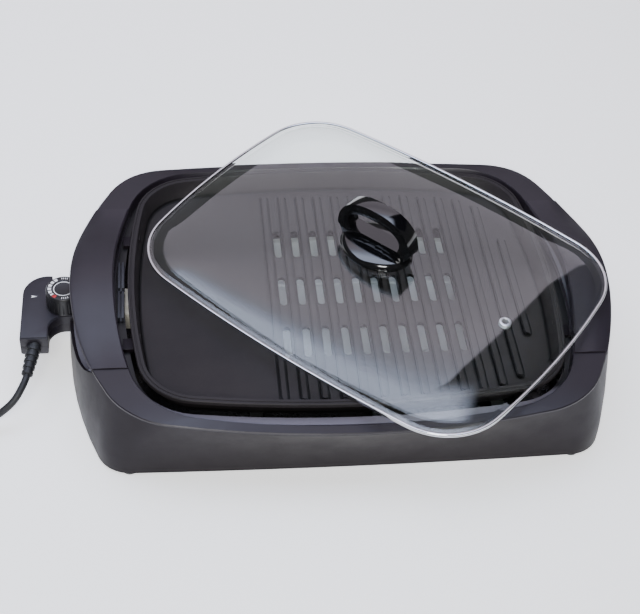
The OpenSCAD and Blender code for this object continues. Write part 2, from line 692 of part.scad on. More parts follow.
module lid_glass() {
    s = dome_shape;
    ts = concat([0.1, 0.35, 0.52], vent_band, [0.85, 0.91, 0.96, 1]);
    edge = outline(lid_shape, 1.2);
    color("#dfe6ea", 0.4) laid() difference() {
        skin(concat([for (t = ts) at_z(outline(scaled(s, t)), glass_z0 + glass_rise(t))],
            [at_z(edge, glass_z0), at_z(edge, glass_z0 + glass_t - 1)],
            [for (i = [len(ts) - 1:-1:0]) at_z(outline(scaled(s, ts[i])), glass_z0 + glass_t + glass_rise(ts[i]))]));
        cylinder(r = stud_r + 0.6, h = 60);
        at_vent() translate([0, 0, -10]) cylinder(r = vent_r + 1.4, h = 30);
    }
}

module lid_rim() {
    s = lid_shape;
    color("#c9ccd1") laid() skin([at_z(outline(s, 0.5), 0), at_z(outline(s, 0), rim_t),
        at_z(outline(s, 0), rim_h - 1.4), at_z(outline(s, 0.7), rim_h - 0.2), at_z(outline(s, rim_w - 0.4), rim_h),
        at_z(outline(s, rim_w), rim_h - 0.3), at_z(outline(s, rim_w), rim_h - rim_t),
        at_z(outline(s, 0.9), rim_h - rim_t - 0.5), at_z(outline(s, 0.9), rim_t),
        at_z(outline(s, rim_w), rim_t - 0.1), at_z(outline(s, rim_w), 0)], true);
}

module vent_grommet() {
    t = glass_t + 0.3;
    color("#9a9da3") laid() at_vent() rotate_extrude() polygon([[vent_r, -1.4], [vent_r + 2.8, -1.4],
        [vent_r + 2.8, -0.3], [vent_r + 1.1, -0.3], [vent_r + 1.1, t], [vent_r + 3, t],
        [vent_r + 2.6, t + 1], [vent_r + 0.6, t + 1.4], [vent_r, t + 0.9]]);
}

boss_flange = 4;
boss_dome = 12;
stud_r = 2.5;

bail_foot = boss_dome + 6;           // top of the bar at the loop's foot
bail_curve = 2.4;                    // 2 gives an ellipse; more gives squarer shoulders

// Outline of the handle's loop: a flat foot and a rounded arch, as a curve round its middle.
function loop_pts(half, foot, low, high, n = 36) =
    concat([[foot, low]], [for (i = [0:n])
        let (a = 180 * i / n, m = low + (high - low) * 0.26,
            r = pow(pow(abs(cos(a)), bail_curve) + pow(abs(sin(a)), bail_curve), -1 / bail_curve))
        [half * r * cos(a), m + (high - m) * r * sin(a)]], [[-foot, low]]);

module lid_handle() {
    half = bail_length / 2;
    color("#16151a") laid() translate([0, 0, glass_top]) difference() {
        rotate([90, 0, 0]) linear_extrude(bail_width, center = true) difference() {
            polygon(loop_pts(half, half - 8.5, boss_flange + gap, bail_height));
            polygon(loop_pts(half - bail_t, half - bail_t - 2, bail_foot, bail_height - bail_t));
        }
        cylinder(r = stud_r + thread_gap, h = boss_dome);
    }
}

// The domed base is an oval, drawn as rings from its rim to its crown.
module handle_boss() {
    function oval(x, k = 40) = [for (i = [0:k - 1]) let (a = 360 * i / k) [x * cos(a), x * sin(a) * boss_w / boss_r]];
    crown = [for (i = [0:8]) let (a = i * 10.5) [(boss_r - 0.6) * cos(a),
        boss_flange - 0.4 + (boss_dome - boss_flange) * sin(a)]];
    color("#1a191e") laid() translate([0, 0, glass_top + gap]) difference() {
        skin(concat([at_z(oval(boss_r), 0), at_z(oval(boss_r), boss_flange - 1)],
            [for (p = crown) at_z(oval(p[0]), p[1])]));
        translate([0, 0, boss_flange + 15]) cube([2 * boss_r + 2, bail_width + 0.4, 30], center = true);
        translate([0, 0, -1]) cylinder(r = stud_r + thread_gap, h = boss_flange + 2);
    }
}

washer_t = 1.2;

module lid_washer() {
    color("#55555a") laid() translate([0, 0, glass_z0 + lid_rise - washer_t - gap]) difference() {
        cylinder(r = 9, h = washer_t);
        translate([0, 0, -1]) cylinder(r = stud_r + 0.3, h = washer_t + 2);
    }
}

module lid_screw() {
    color("#b4b6ba") laid() translate([0, 0, glass_z0 + lid_rise - washer_t - 2 * gap])
        screw(stud_r, glass_t + washer_t + boss_flange + 6, 5.5, 2.4);
}

// ---- Control: the thermostat plug at the left ----
arm_w = 26.5;                        // width of the arm that the cord leaves
arm_out = 17.5;                      // distance of the arm from the base
arm_right = -base_length / 2 - arm_out;
arm_left = arm_right - arm_w;
dial_x = arm_right + 15.5;
arm_front = -46;
arm_back = 40;
shell_t = 2.4;
nose_r = 16;                         // hollow curve between the arm and the nose
half_z = probe_z;                    // height where the two housing halves meet

// Outline of the housing, set in by d: arm, hollow curve, nose, and the rounded back.
function arc(c, r, a0, a1, n) = [for (i = [0:n]) let (a = a0 + (a1 - a0) * i / n)
    c + r * [cos(a), sin(a)]];
function control_outline(d) = concat(
    [[arm_left + d, arm_front + d], [arm_right - d, arm_front + d]],
    arc([arm_right + nose_r, -nose_half - nose_r], nose_r + d, 180, 90, 8),
    [[-nose_end - d, -nose_half + d], [-nose_end - d, nose_half - d]],
    arc([arm_right + nose_r, nose_half + nose_r], nose_r + d, 270, 205, 6),
    arc([arm_left + 24, arm_back - 24], 24 - d, 80, 180, 8));

module housing_half(z0, z1, floor_at, bevel) {
    difference() {
        union() {
            translate([0, 0, z0 + (floor_at < half_z ? bevel : 0)])
                linear_extrude(z1 - z0 - bevel) polygon(control_outline(0));
            translate([0, 0, floor_at < half_z ? z0 : z1 - bevel])
                linear_extrude(bevel) polygon(control_outline(0.8));
        }
        translate([0, 0, floor_at < half_z ? z0 + shell_t : z0 - 1])
            linear_extrude(z1 - z0 - shell_t + 1) polygon(control_outline(shell_t));
        // half openings for the sleeves, the probe and the cord's gland
        for (y = [-pin_half, pin_half]) translate([-nose_end - 6, y, probe_z]) rotate([0, 90, 0])
            cylinder(r = sleeve_r + gap, h = 12);
        translate([-nose_end - 6, 0, probe_z]) rotate([0, 90, 0]) cylinder(r = probe_r + thread_gap, h = 12);
        translate([gland_x, arm_front - 1, probe_z]) rotate([-90, 0, 0]) cylinder(r = gland_neck + thread_gap, h = 8);
    }
}

control_top_z = probe_z + control_h / 2;
control_low_z = probe_z - control_h / 2;
sleeve_r = 3.4;
gland_x = arm_right - 13.2;
gland_neck = 4.6;
post_xy = [[arm_right - 17, 22], [arm_right - 16, -24]];
post_r = 2.6;
screw_r = 1.1;

module control_top() {
    color("#4a4852") difference() {
        union() {
            housing_half(half_z + 0.1, control_top_z, control_top_z, 1.2);
            for (i = [0, 1]) translate([post_xy[i][0], post_xy[i][1], half_z + 0.1])
                cylinder(r = post_r, h = control_top_z - half_z - 1);
        }
        translate([dial_x, 0, half_z]) cylinder(r = shaft_r + thread_gap, h = 40);
        for (i = [0, 1]) translate([post_xy[i][0], post_xy[i][1], half_z - 1])
            cylinder(r = screw_r + thread_gap, h = 9);
    }
}

module control_bottom() {
    color("#3d3b44") difference() {
        union() {
            housing_half(control_low_z, half_z - 0.1, control_low_z, 2);
            for (i = [0, 1]) translate([post_xy[i][0], post_xy[i][1], control_low_z + 1])
                cylinder(r = post_r, h = half_z - 0.1 - control_low_z - 1);
        }
        for (i = [0, 1]) translate([post_xy[i][0], post_xy[i][1], control_low_z - 1])
            cylinder(r = screw_r + thread_gap, h = 30);
    }
}

module housing_screws() {
    color("#8d8d90") for (i = [0, 1]) translate([post_xy[i][0], post_xy[i][1], control_low_z - gap])
        screw(screw_r, half_z - control_low_z + 6, 2.2, 1.2);
}

module probe_tube() {
    len = probe_reach + 22;
    color("#c8cacd") translate([-nose_end - 22, 0, probe_z]) rotate([0, 90, 0]) difference() {
        union() {
            cylinder(r = probe_r, h = len - probe_r);
            translate([0, 0, len - probe_r]) sphere(r = probe_r);
        }
        translate([0, 0, -1]) cylinder(r = probe_r - 0.6, h = len - probe_r);
    }
}

module probe_collar() {
    color("#b3a27a") translate([-nose_end - shell_t - 3.2, 0, probe_z]) rotate([0, 90, 0]) difference() {
        cylinder(r = 5.6, h = 3);
        translate([0, 0, -1]) cylinder(r = probe_r + thread_gap, h = 5);
    }
}

module contact_sleeves() {
    color("#c2a868") for (y = [-pin_half, pin_half]) translate([-nose_end - 20, y, probe_z])
        rotate([0, 90, 0]) difference() {
            cylinder(r = sleeve_r, h = 19.4);
            translate([0, 0, 1.2]) cylinder(r = pin_r + thread_gap, h = 20);
        }
}

frame_z = control_low_z + shell_t + gap;
frame_x = dial_x - 14.5;
frame_len = min(42, -nose_end - shell_t - 1 - frame_x);
frame_t = 1.2;
frame_half = 7;
strip_x = frame_x + frame_t + gap;

module thermostat_frame() {
    color("#a7a9ad") translate([frame_x, -frame_half, frame_z]) {
        cube([frame_len, 2 * frame_half, frame_t]);
        cube([frame_t, 2 * frame_half, 8]);
        translate([frame_len - 4, 0, 0]) cube([frame_t, 2 * frame_half, 5.2]);
    }
}

module bimetal_strip() {
    color("#b98a57") translate([strip_x, -3, frame_z + frame_t + gap]) {
        cube([4, 6, 3]);
        cube([frame_len - 9, 6, 0.8]);
    }
}

module contact_arm() {
    color("#c2a868") translate([strip_x, -2.5, frame_z + 5.2]) {
        translate([0, 0, -0.8]) cube([4, 5, 1.6]);
        cube([frame_len - 16, 5, 0.7]);
        translate([frame_len - 20, 2.5, -2.4]) cylinder(r = 1.6, h = 2.6);
    }
}

shaft_r = 3;
knob_z = control_top_z + 0.3;

module dial_shaft() {
    color("#b9b9bc") translate([dial_x, 0, frame_z + 6.4]) {
        cylinder(r = shaft_r - 1, h = 4);
        translate([0, 0, 3]) cylinder(r = shaft_r, h = knob_z + dial_h - 5 - frame_z - 9.4);
    }
}

module dial_knob() {
    color("#1b1a1f") translate([dial_x, 0, knob_z]) difference() {
        rotate_extrude() polygon([[0, 0], [dial_r - 0.2, 0], [dial_r, 0.6], [dial_r - 0.5, dial_h - 1.6],
            [dial_r - 1.6, dial_h], [dial_r - 7.6, dial_h], [dial_r - 7.9, dial_h - 0.7], [0, dial_h - 0.7]]);
        translate([0, 0, -1]) cylinder(r = shaft_r + thread_gap, h = dial_h - 4);
        for (a = [0:15:345]) rotate([0, 0, a]) translate([dial_r + 0.6, 0, 2])
            cylinder(r = 1.1, h = dial_h - 7, $fn = 16);
    }
}

// ---- Cord: strain relief, the free lead, its stored coil and its plug ----
relief_tilt = 15;                    // how far the relief droops below level
relief_yaw = 12;                     // how far it leans to the left
relief_len = 32;
relief_steps = 5;
mouth = 6;                           // depth that the cord goes into the relief

module relief_axis() {
    translate([gland_x, arm_front, probe_z]) rotate([0, 0, -relief_yaw]) rotate([90 + relief_tilt, 0, 0])
        children();
}

module strain_relief() {
    color("#202024") difference() {
        union() {
            translate([gland_x, arm_front - gap, probe_z]) rotate([-90, 0, 0]) {
                cylinder(r = gland_neck, h = shell_t + 2 * gap + 1);
                translate([0, 0, shell_t + 2 * gap]) cylinder(r = gland_neck + 1.4, h = 2);
            }
            difference() {
                relief_axis() {
                    translate([0, 0, -4]) cylinder(r1 = 6.4, r2 = 4.5, h = relief_len + 4);
                    for (i = [0:relief_steps - 1]) translate([0, 0, 2.5 + i * relief_len / relief_steps])
                        cylinder(r = 7.2 - i * 0.42, h = 3.2);
                }
                translate([gland_x - 20, arm_front - gap, probe_z - 20]) cube(40);
            }
        }
        relief_axis() translate([0, 0, relief_len - mouth]) cylinder(r = cord_d / 2 + thread_gap, h = 12);
    }
}

// The free lead: from inside the relief's mouth down to the table and along to the coil.
function along_relief(d) = [gland_x - sin(relief_yaw) * cos(relief_tilt) * d,
    arm_front - cos(relief_yaw) * cos(relief_tilt) * d, probe_z - sin(relief_tilt) * d];
cord_pts = concat([along_relief(relief_len - mouth), along_relief(relief_len + 2)],
    [[-316, -90.5, 38.5], [-322, -98.5, 33], [-331, -104.5, 27],
    [-342, -108, 20], [-354, -109, 13], [-366, -108.6, 7.4], [-378, -107.4, 4.3], [-389, -106, 3.7],
    [-400, -106, 3.7]]);
cord_sides = 10;

function unit(v) = v / norm(v);
function tangent(p, i) = unit(p[min(i + 1, len(p) - 1)] - p[max(i - 1, 0)]);
function ring_round(c, t, r, n) =
    let (u = unit(cross(t, [0, 0, 1])), v = cross(t, u))
    [for (k = [0:n - 1]) let (a = 360 * k / n) c + r * (cos(a) * u + sin(a) * v)];

module tube(p, r, n) {
    skin([for (i = [0:len(p) - 1]) ring_round(p[i], tangent(p, i), r, n)]);
}

module cord() {
    color("#1e1e22") tube(cord_pts, cord_d / 2, cord_sides);
}

coil_c = [-400, -64];
coil_mid = 38.5;                     // radius at the middle of the turns
coil_w = 2 * cord_d + 0.2;
coil_h = 2 * cord_d + 0.2;

tie_w = 6;
tie_t = 1;

module cord_coil() {
    color("#1e1e22") translate([coil_c[0], coil_c[1], 0.2]) difference() {
        rotate_extrude() translate([coil_mid - coil_w / 2, 0]) square([coil_w, coil_h]);
        // the lead runs in along the front of the outer turn, and out along its left
        translate([0, -coil_mid - coil_w / 2 - 1, -1]) cube([2 * coil_mid, cord_d + 1.2, cord_d + 1.2]);
        translate([-coil_mid - coil_w / 2 - 1, 0, cord_d - 0.5]) cube([cord_d + 1.2, 2 * coil_mid, cord_d + 2]);
        // the tie is pulled tight round the turns here
        translate([-tie_w / 2 - gap, coil_mid - coil_w, -1]) cube([tie_w + 2 * gap, 2 * coil_w, 1 + tie_t + gap]);
    }
}

module coil_tie() {
    w = coil_w + 2 * gap;
    h = coil_h - tie_t;
    color("#2b2b30") translate([coil_c[0], coil_c[1] + coil_mid, 0.2]) difference() {
        translate([-tie_w / 2, -w / 2 - tie_t, 0]) cube([tie_w, w + 2 * tie_t, h + 2 * tie_t + gap]);
        translate([-tie_w / 2 - 1, -w / 2, tie_t]) cube([tie_w + 2, w, h + gap]);
    }
}

plug_x = coil_c[0] - coil_mid - cord_d / 2;
plug_y = 4;
plug_len = 32;
plug_z = 8.6;
plug_neck = 13;
tail_pts = [[plug_x, coil_c[1], 10.7], [plug_x, -54, 10.7], [plug_x, -42, 10.1], [plug_x, -30, 9.1],
    [plug_x, -19, 8.6], [plug_x, plug_y - plug_neck, 8.6]];

module cord_tail() {
    color("#1e1e22") tube(tail_pts, cord_d / 2, cord_sides);
}

module plug_body() {
    color("#1e1e22") {
        translate([plug_x, plug_y, plug_z]) rotate([-90, 0, 0]) hull() {
            translate([0, 0, 8]) linear_extrude(plug_len - 8) square([25, 16.6], center = true);
            cylinder(r = 5.4, h = 2, $fn = 24);
        }
        translate([plug_x, plug_y - plug_neck, plug_z]) rotate([-90, 0, 0])
            cylinder(r1 = 3.9, r2 = 5, h = plug_neck + gap);
    }
}

module plug_blades() {
    color("#c9b27a") for (s = [-1, 1])
        translate([plug_x + s * 6.35 - 0.75, plug_y + plug_len + 0.02, plug_z - 3.2]) cube([1.5, 17, 6.4]);
}

base_shell();
top_frame();
handle_left();
handle_right();
recess_left();
recess_right();
handle_screws();
base_pan();
pan_screws();
foot_pads();
plate_rests();
socket_guard();
drip_tray();
heating_element();
heater_brackets();
terminal_block();
terminal_pins();
grill_plate();
probe_boss();
probe_cheeks();
lid_glass();
lid_rim();
vent_grommet();
lid_handle();
handle_boss();
lid_screw();
lid_washer();
control_top();
control_bottom();
housing_screws();
probe_tube();
probe_collar();
contact_sleeves();
thermostat_frame();
bimetal_strip();
contact_arm();
dial_knob();
dial_shaft();
strain_relief();
cord();
cord_coil();
coil_tie();
cord_tail();
plug_body();
plug_blades();
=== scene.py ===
# %% [markdown]
# # A tabletop electric grill
# The grill is a flared moulded base with two arched handles, a lift-out cast plate with ridges,
# a loose glass lid that lies askew on top, and a plug-in thermostat with its lead. The solids come
# in ready-made, in metres. This lesson dresses them:
# camera first, then the lead, then the finishes, and last the pieces that need finer meshes.

# %% Load the solids
import math
import bpy
import bmesh
from mathutils import Matrix, Vector


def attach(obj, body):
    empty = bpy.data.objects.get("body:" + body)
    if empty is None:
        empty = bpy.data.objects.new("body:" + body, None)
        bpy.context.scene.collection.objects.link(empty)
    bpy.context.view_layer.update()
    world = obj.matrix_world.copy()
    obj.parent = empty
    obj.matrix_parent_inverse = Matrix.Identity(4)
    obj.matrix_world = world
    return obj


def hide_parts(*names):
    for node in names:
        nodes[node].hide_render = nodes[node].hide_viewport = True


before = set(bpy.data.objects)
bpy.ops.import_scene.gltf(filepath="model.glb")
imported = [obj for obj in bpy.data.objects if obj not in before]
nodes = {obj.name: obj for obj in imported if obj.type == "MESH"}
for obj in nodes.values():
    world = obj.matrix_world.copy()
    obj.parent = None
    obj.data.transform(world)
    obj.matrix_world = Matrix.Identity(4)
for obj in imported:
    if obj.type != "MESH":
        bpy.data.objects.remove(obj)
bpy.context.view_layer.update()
MM = 0.001

# %% [markdown]
# ## The camera
# A still-life camera stands to the front left and looks steeply down. Its lens is a short
# telephoto, so that the long sides stay nearly parallel. It could be aimed with a constraint,
# but a matrix made of three perpendicular directions also carries the small roll exactly.

# %% Camera
IMAGE_W, FOCAL_PX = 640, 1310
CAMERA_AT = Vector((-0.1723, -0.9287, 1.0000))
YAW, PITCH, ROLL = math.radians(9.32), math.radians(45.37), math.radians(4.96)


def camera_axes():
    """The camera's right, up and ahead, from its heading, its downward tilt and its small roll."""
    ahead = Vector((math.sin(YAW) * math.cos(PITCH), math.cos(YAW) * math.cos(PITCH), -math.sin(PITCH)))
    level = Vector((math.cos(YAW), -math.sin(YAW), 0))
    above = level.cross(ahead)
    right = level * math.cos(ROLL) + above * math.sin(ROLL)
    up = above * math.cos(ROLL) - level * math.sin(ROLL)
    return right, up, ahead


def add_camera():
    right, up, ahead = camera_axes()
    data = bpy.data.cameras.new("camera")
    data.sensor_width = 36
    data.lens = FOCAL_PX * data.sensor_width / IMAGE_W
    data.clip_end = 50
    obj = bpy.data.objects.new("camera", data)
    turn = Matrix((right, up, -ahead)).transposed().to_4x4()
    obj.matrix_world = Matrix.Translation(CAMERA_AT) @ turn
    bpy.context.scene.collection.objects.link(obj)
    bpy.context.scene.camera = obj
    return obj


camera = add_camera()
print("camera: lens %.1f mm" % camera.data.lens)

# %% [markdown]
# ## Finishes: the shared helpers
# Every finish is a small node tree. Colours are picked as sRGB hex values, the way a maker's
# colour card gives them, and one function turns them to the linear values that light needs.
# Pattern sizes are real sizes: noise with a scale of 1000 / mm repeats about once in that many
# millimetres when it is fed with object coordinates in metres.

# %% Colour and node helpers
def to_linear(hex_colour):
    """An sRGB hex colour as linear red, green, blue and alpha."""
    parts = [int(hex_colour[i:i + 2], 16) / 255 for i in (1, 3, 5)]
    return tuple(c / 12.92 if c <= 0.04045 else ((c + 0.055) / 1.055) ** 2.4 for c in parts) + (1.0,)


def per_metre(millimetres):
    return 1000.0 / millimetres


def add_node(tree, kind, settings=None, inputs=None):
    """Adds a node; inputs may be values or sockets to link from."""
    node = tree.nodes.new(kind)
    for name, value in (settings or {}).items():
        setattr(node, name, value)
    for name, value in (inputs or {}).items():
        if isinstance(value, bpy.types.NodeSocket):
            tree.links.new(value, node.inputs[name])
        else:
            node.inputs[name].default_value = value
    return node


def start_finish(name, colour, roughness, metallic=0.0, **sockets):
    """A material with one shader, its object coordinates, and the shader's plain values set."""
    finish = bpy.data.materials.new(name)
    finish.use_nodes = True
    tree = finish.node_tree
    shader = tree.nodes["Principled BSDF"]
    shader.inputs["Base Color"].default_value = to_linear(colour)
    shader.inputs["Roughness"].default_value = roughness
    shader.inputs["Metallic"].default_value = metallic
    for socket, value in sockets.items():
        shader.inputs[socket.replace("_", " ")].default_value = value
    place = add_node(tree, "ShaderNodeTexCoord").outputs["Object"]
    return finish, tree, shader, place


def vary_colour(tree, shader, place, millimetres, dark, light):
    """Cloudy change between two colours, over patches of the given size."""
    cloud = add_node(tree, "ShaderNodeTexNoise", {}, {"Vector": place, "Scale": per_metre(millimetres),
                                                      "Detail": 3.0, "Roughness": 0.6})
    ramp = add_node(tree, "ShaderNodeValToRGB", {}, {"Fac": cloud.outputs["Fac"]})
    ramp.color_ramp.elements[0].position = 0.3
    ramp.color_ramp.elements[0].color = to_linear(dark)
    ramp.color_ramp.elements[1].position = 0.7
    ramp.color_ramp.elements[1].color = to_linear(light)
    tree.links.new(ramp.outputs["Color"], shader.inputs["Base Color"])
    return ramp


def vary_roughness(tree, shader, place, millimetres, low, high):
    """Patches of handling and wear, which leave the surface smoother in some places than in others."""
    smear = add_node(tree, "ShaderNodeTexNoise", {}, {"Vector": place, "Scale": per_metre(millimetres),
                                                      "Detail": 4.0, "Roughness": 0.65})
    span = add_node(tree, "ShaderNodeMapRange", {}, {"Value": smear.outputs["Fac"], "From Min": 0.3,
                                                     "From Max": 0.7, "To Min": low, "To Max": high})
    tree.links.new(span.outputs["Result"], shader.inputs["Roughness"])


def emboss(tree, shader, place, millimetres, depth_mm, strength, detail=2.0):
    """A grain of the given size and depth pressed into the surface."""
    grain = add_node(tree, "ShaderNodeTexNoise", {}, {"Vector": place, "Scale": per_metre(millimetres),
                                                      "Detail": detail})
    bump = add_node(tree, "ShaderNodeBump", {}, {"Height": grain.outputs["Fac"], "Strength": strength,
                                                 "Distance": depth_mm * MM})
    tree.links.new(bump.outputs["Normal"], shader.inputs["Normal"])


print("helpers ready; #808080 is", round(to_linear("#808080")[0], 3), "in linear light")

# %% [markdown]
# ## Moulded plastics
# The base, the top ring and the handles are injection-moulded polypropylene. The mould is spark
# eroded, so the skin has a fine dull grain of about half a millimetre. The render can't hold a grain
# that fine over the whole base, so it is drawn at 0.9 mm and kept very shallow. Handling
# polishes it unevenly, which the slow change in roughness shows. The guard, the control's housing
# and the dial are moulded the same way from nylon, polyamide and ABS.

# %% Plastics
MOULD_GRAIN_MM, MOULD_GRAIN_DEPTH = 0.9, 0.05
# painted light on the ring: below this height the ledge gets painted shade, and in front of this y it gets a
# painted highlight
PAINTED_HIGHLIGHT_FRONT_Y = (-148, -140)
PAINTED_SHADE_TOP_Z = (74.3, 74.8)


def moulded_plastic(name, colour, deep, roughness, shine=0.5):
    """A moulded skin, with patches between the colour and a deeper one about 60 mm across."""
    finish, tree, shader, place = start_finish(name, colour, roughness, IOR=1.49, Specular_IOR_Level=shine)
    vary_colour(tree, shader, place, 60, deep, colour)
    vary_roughness(tree, shader, place, 35, roughness - 0.05, roughness + 0.07)
    emboss(tree, shader, place, MOULD_GRAIN_MM, MOULD_GRAIN_DEPTH, 0.5)
    return finish


def ring_plastic():
    """The ring's plastic. Its ledge below is darkened with painted shade, and painted paler along the front
    as a painted highlight.
    """
    finish = moulded_plastic("moulded_polypropylene_ring", "#231E24", "#1F1A20", 0.38, shine=0.4)
    tree = finish.node_tree
    shader = tree.nodes["Principled BSDF"]
    cloud = shader.inputs["Base Color"].links[0].from_socket
    place = add_node(tree, "ShaderNodeTexCoord").outputs["Object"]
    axes = add_node(tree, "ShaderNodeSeparateXYZ", {}, {"Vector": place}).outputs
    spans = []
    for value, (low, high) in ((axes["Y"], PAINTED_HIGHLIGHT_FRONT_Y), (axes["Z"], PAINTED_SHADE_TOP_Z)):
        spans.append(add_node(tree, "ShaderNodeMapRange", {}, {
            "Value": value, "From Min": low * MM, "From Max": high * MM, "To Min": 1.0, "To Max": 0.0}))
    # painted shade behind and a painted highlight along the front, both only on the ledge below the ring's
    # top
    ledge = add_node(tree, "ShaderNodeMix", {"data_type": "RGBA"}, {
        "Factor": spans[0].outputs["Result"], 6: to_linear("#0C0B0D"), 7: to_linear("#69656E")})
    mixed = add_node(tree, "ShaderNodeMix", {"data_type": "RGBA"}, {
        "Factor": spans[1].outputs["Result"], 6: cloud, 7: ledge.outputs[2]})
    tree.links.new(mixed.outputs[2], shader.inputs["Base Color"])
    return finish


charcoal = moulded_plastic("moulded_polypropylene_charcoal", "#191319", "#150F15", 0.46, shine=0.16)
ring_charcoal = ring_plastic()
handle_grey = moulded_plastic("moulded_polypropylene_handle", "#2A252B", "#262127", 0.38, shine=0.38)
# painted light: the recess is coloured a pale grey to stand in for the light its trough catches under the
# handles
recess_painted_light = moulded_plastic("moulded_polypropylene_recess", "#7A7781", "#6E6B75", 0.5)
guard_grey = moulded_plastic("moulded_nylon_grey", "#35353B", "#2F2F35", 0.45, shine=0.3)
housing_black = moulded_plastic("moulded_polyamide_black", "#242128", "#201D24", 0.42, shine=0.42)
print("plastics:", charcoal.name, ring_charcoal.name, handle_grey.name, recess_painted_light.name)

# %% [markdown]
# ## Phenolic, rubber and the lead's jacket
# The lid's handle is compression-moulded phenolic: black right through and polished, with a faint
# waviness that bends the reflections. The dial is plain moulded ABS. The lead and the feet are soft
# PVC and rubber, which scatter light and never shine sharply.

# %% Phenolic and rubber
def polished_phenolic():
    """The coat is the thin, very smooth skin that the polished mould leaves on the resin."""
    finish, tree, shader, place = start_finish("polished_phenolic_black", "#0A0A0C", 0.09, IOR=1.60)
    shader.inputs["Coat Weight"].default_value = 0.35
    shader.inputs["Coat Roughness"].default_value = 0.04
    vary_roughness(tree, shader, place, 14, 0.06, 0.16)
    emboss(tree, shader, place, 22, 0.12, 0.25)
    return finish


def soft_jacket(name, colour, deep, grain_mm):
    """PVC or rubber, matt and a little uneven, with a grain of the given size."""
    finish, tree, shader, place = start_finish(name, colour, 0.55, IOR=1.52)
    vary_colour(tree, shader, place, 25, deep, colour)
    vary_roughness(tree, shader, place, 12, 0.48, 0.68)
    emboss(tree, shader, place, grain_mm, 0.06, 0.5)
    return finish


phenolic = polished_phenolic()
dial_black = moulded_plastic("moulded_abs_black", "#121114", "#0E0D10", 0.4)
pvc_jacket = soft_jacket("pvc_jacket_black", "#1A1A1D", "#131315", 1.2)
foot_rubber = soft_jacket("moulded_rubber_black", "#202023", "#17171A", 0.8)
print("soft finishes:", phenolic.name, pvc_jacket.name, foot_rubber.name)

# %% [markdown]
# ## The plate's non-stick coat
# The plate is die-cast aluminium sprayed with a dark PTFE coat and baked. The coat is a warm dark
# grey with a fine orange-peel skin and tiny pale mica flecks. Painted shade darkens the grooves that
# lie below the floor's level and the flanks of the ridges, which is how the ridges come to stand
# out. Each shaded band is a ramp over height, so the painted shade follows height and not the face.

# %% Non-stick coat
# painted shade: how dark the grooves and the ridges' flanks are painted, and the heights where each band
# starts and ends
SHADE_STRENGTH = 0.9
GROOVE_END, FLANK_START, FLANK_END = (67.1, 67.9), (68.1, 68.4), (71.1, 71.5)
FLECK_MM = 1.6


def nonstick_coat():
    """The baked coat, its flecks, and painted shade in the grooves and on the ridges' flanks."""
    finish, tree, shader, place = start_finish("ptfe_coat_on_cast_aluminium", "#2A2728", 0.5, IOR=1.35,
                                               Specular_IOR_Level=0.3)
    cloud = vary_colour(tree, shader, place, 90, "#262324", "#2E2A2B")
    height = add_node(tree, "ShaderNodeSeparateXYZ", {}, {"Vector": place}).outputs["Z"]
    spans = []
    bands = ((GROOVE_END, SHADE_STRENGTH, 0.0), (FLANK_START, 0.0, SHADE_STRENGTH), (FLANK_END, SHADE_STRENGTH, 0.0))
    for (low, high), at_low, at_high in bands:
        spans.append(add_node(tree, "ShaderNodeMapRange", {}, {
            "Value": height, "From Min": low * MM, "From Max": high * MM, "To Min": at_low,
            "To Max": at_high}).outputs["Result"])
    flank = add_node(tree, "ShaderNodeMath", {"operation": "MINIMUM"}, {0: spans[1], 1: spans[2]})
    groove = add_node(tree, "ShaderNodeMath", {"operation": "MAXIMUM"}, {0: spans[0], 1: flank.outputs[0]})
    flecks = add_node(tree, "ShaderNodeTexVoronoi", {}, {"Vector": place, "Scale": per_metre(FLECK_MM)})
    bright = add_node(tree, "ShaderNodeMapRange", {}, {"Value": flecks.outputs["Distance"], "From Min": 0.05,
                                                       "From Max": 0.22, "To Min": 0.35, "To Max": 0.0})
    mixed = add_node(tree, "ShaderNodeMix", {"data_type": "RGBA"}, {
        "Factor": bright.outputs["Result"], 6: cloud.outputs["Color"], 7: to_linear("#464243")})
    # the painted shade is mixed over the coat's colour by height
    shaded = add_node(tree, "ShaderNodeMix", {"data_type": "RGBA"}, {
        "Factor": groove.outputs[0], 6: mixed.outputs[2], 7: to_linear("#080708")})
    tree.links.new(shaded.outputs[2], shader.inputs["Base Color"])
    vary_roughness(tree, shader, place, 30, 0.44, 0.56)
    emboss(tree, shader, place, 1.4, 0.08, 0.6)
    return finish


nonstick = nonstick_coat()
print("plate finish:", nonstick.name)

# %% [markdown]
# ## Metals
# Metals get their colour from reflection, so each is metallic 1 with the default IOR and differs in
# hue, roughness and the direction of its scratches. The drip tray alone is only partly metallic: its
# etched sheet scatters light almost like a pale paint, which keeps the slots above it light grey.
# Drawn and rolled parts have fine lines along one way, which a stretched noise gives. Heat turns
# the heater's steel sheath to a dull dark oxide.

# %% Metals
STRETCH = 14


def scratched_metal(name, colour, deep, roughness, line_mm=0.6, metallic=1.0):
    """A metal with drawing lines along X, so many millimetres apart, STRETCH times as long as wide."""
    finish, tree, shader, place = start_finish(name, colour, roughness, metallic)
    vary_colour(tree, shader, place, 30, deep, colour)
    drawn = add_node(tree, "ShaderNodeMapping", {}, {"Vector": place, "Scale": (1, STRETCH, STRETCH)})
    lines = drawn.outputs["Vector"]
    vary_roughness(tree, shader, lines, line_mm * STRETCH * 2, roughness * 0.8, roughness * 1.3)
    emboss(tree, shader, lines, line_mm * STRETCH, 0.02, 0.35)
    return finish


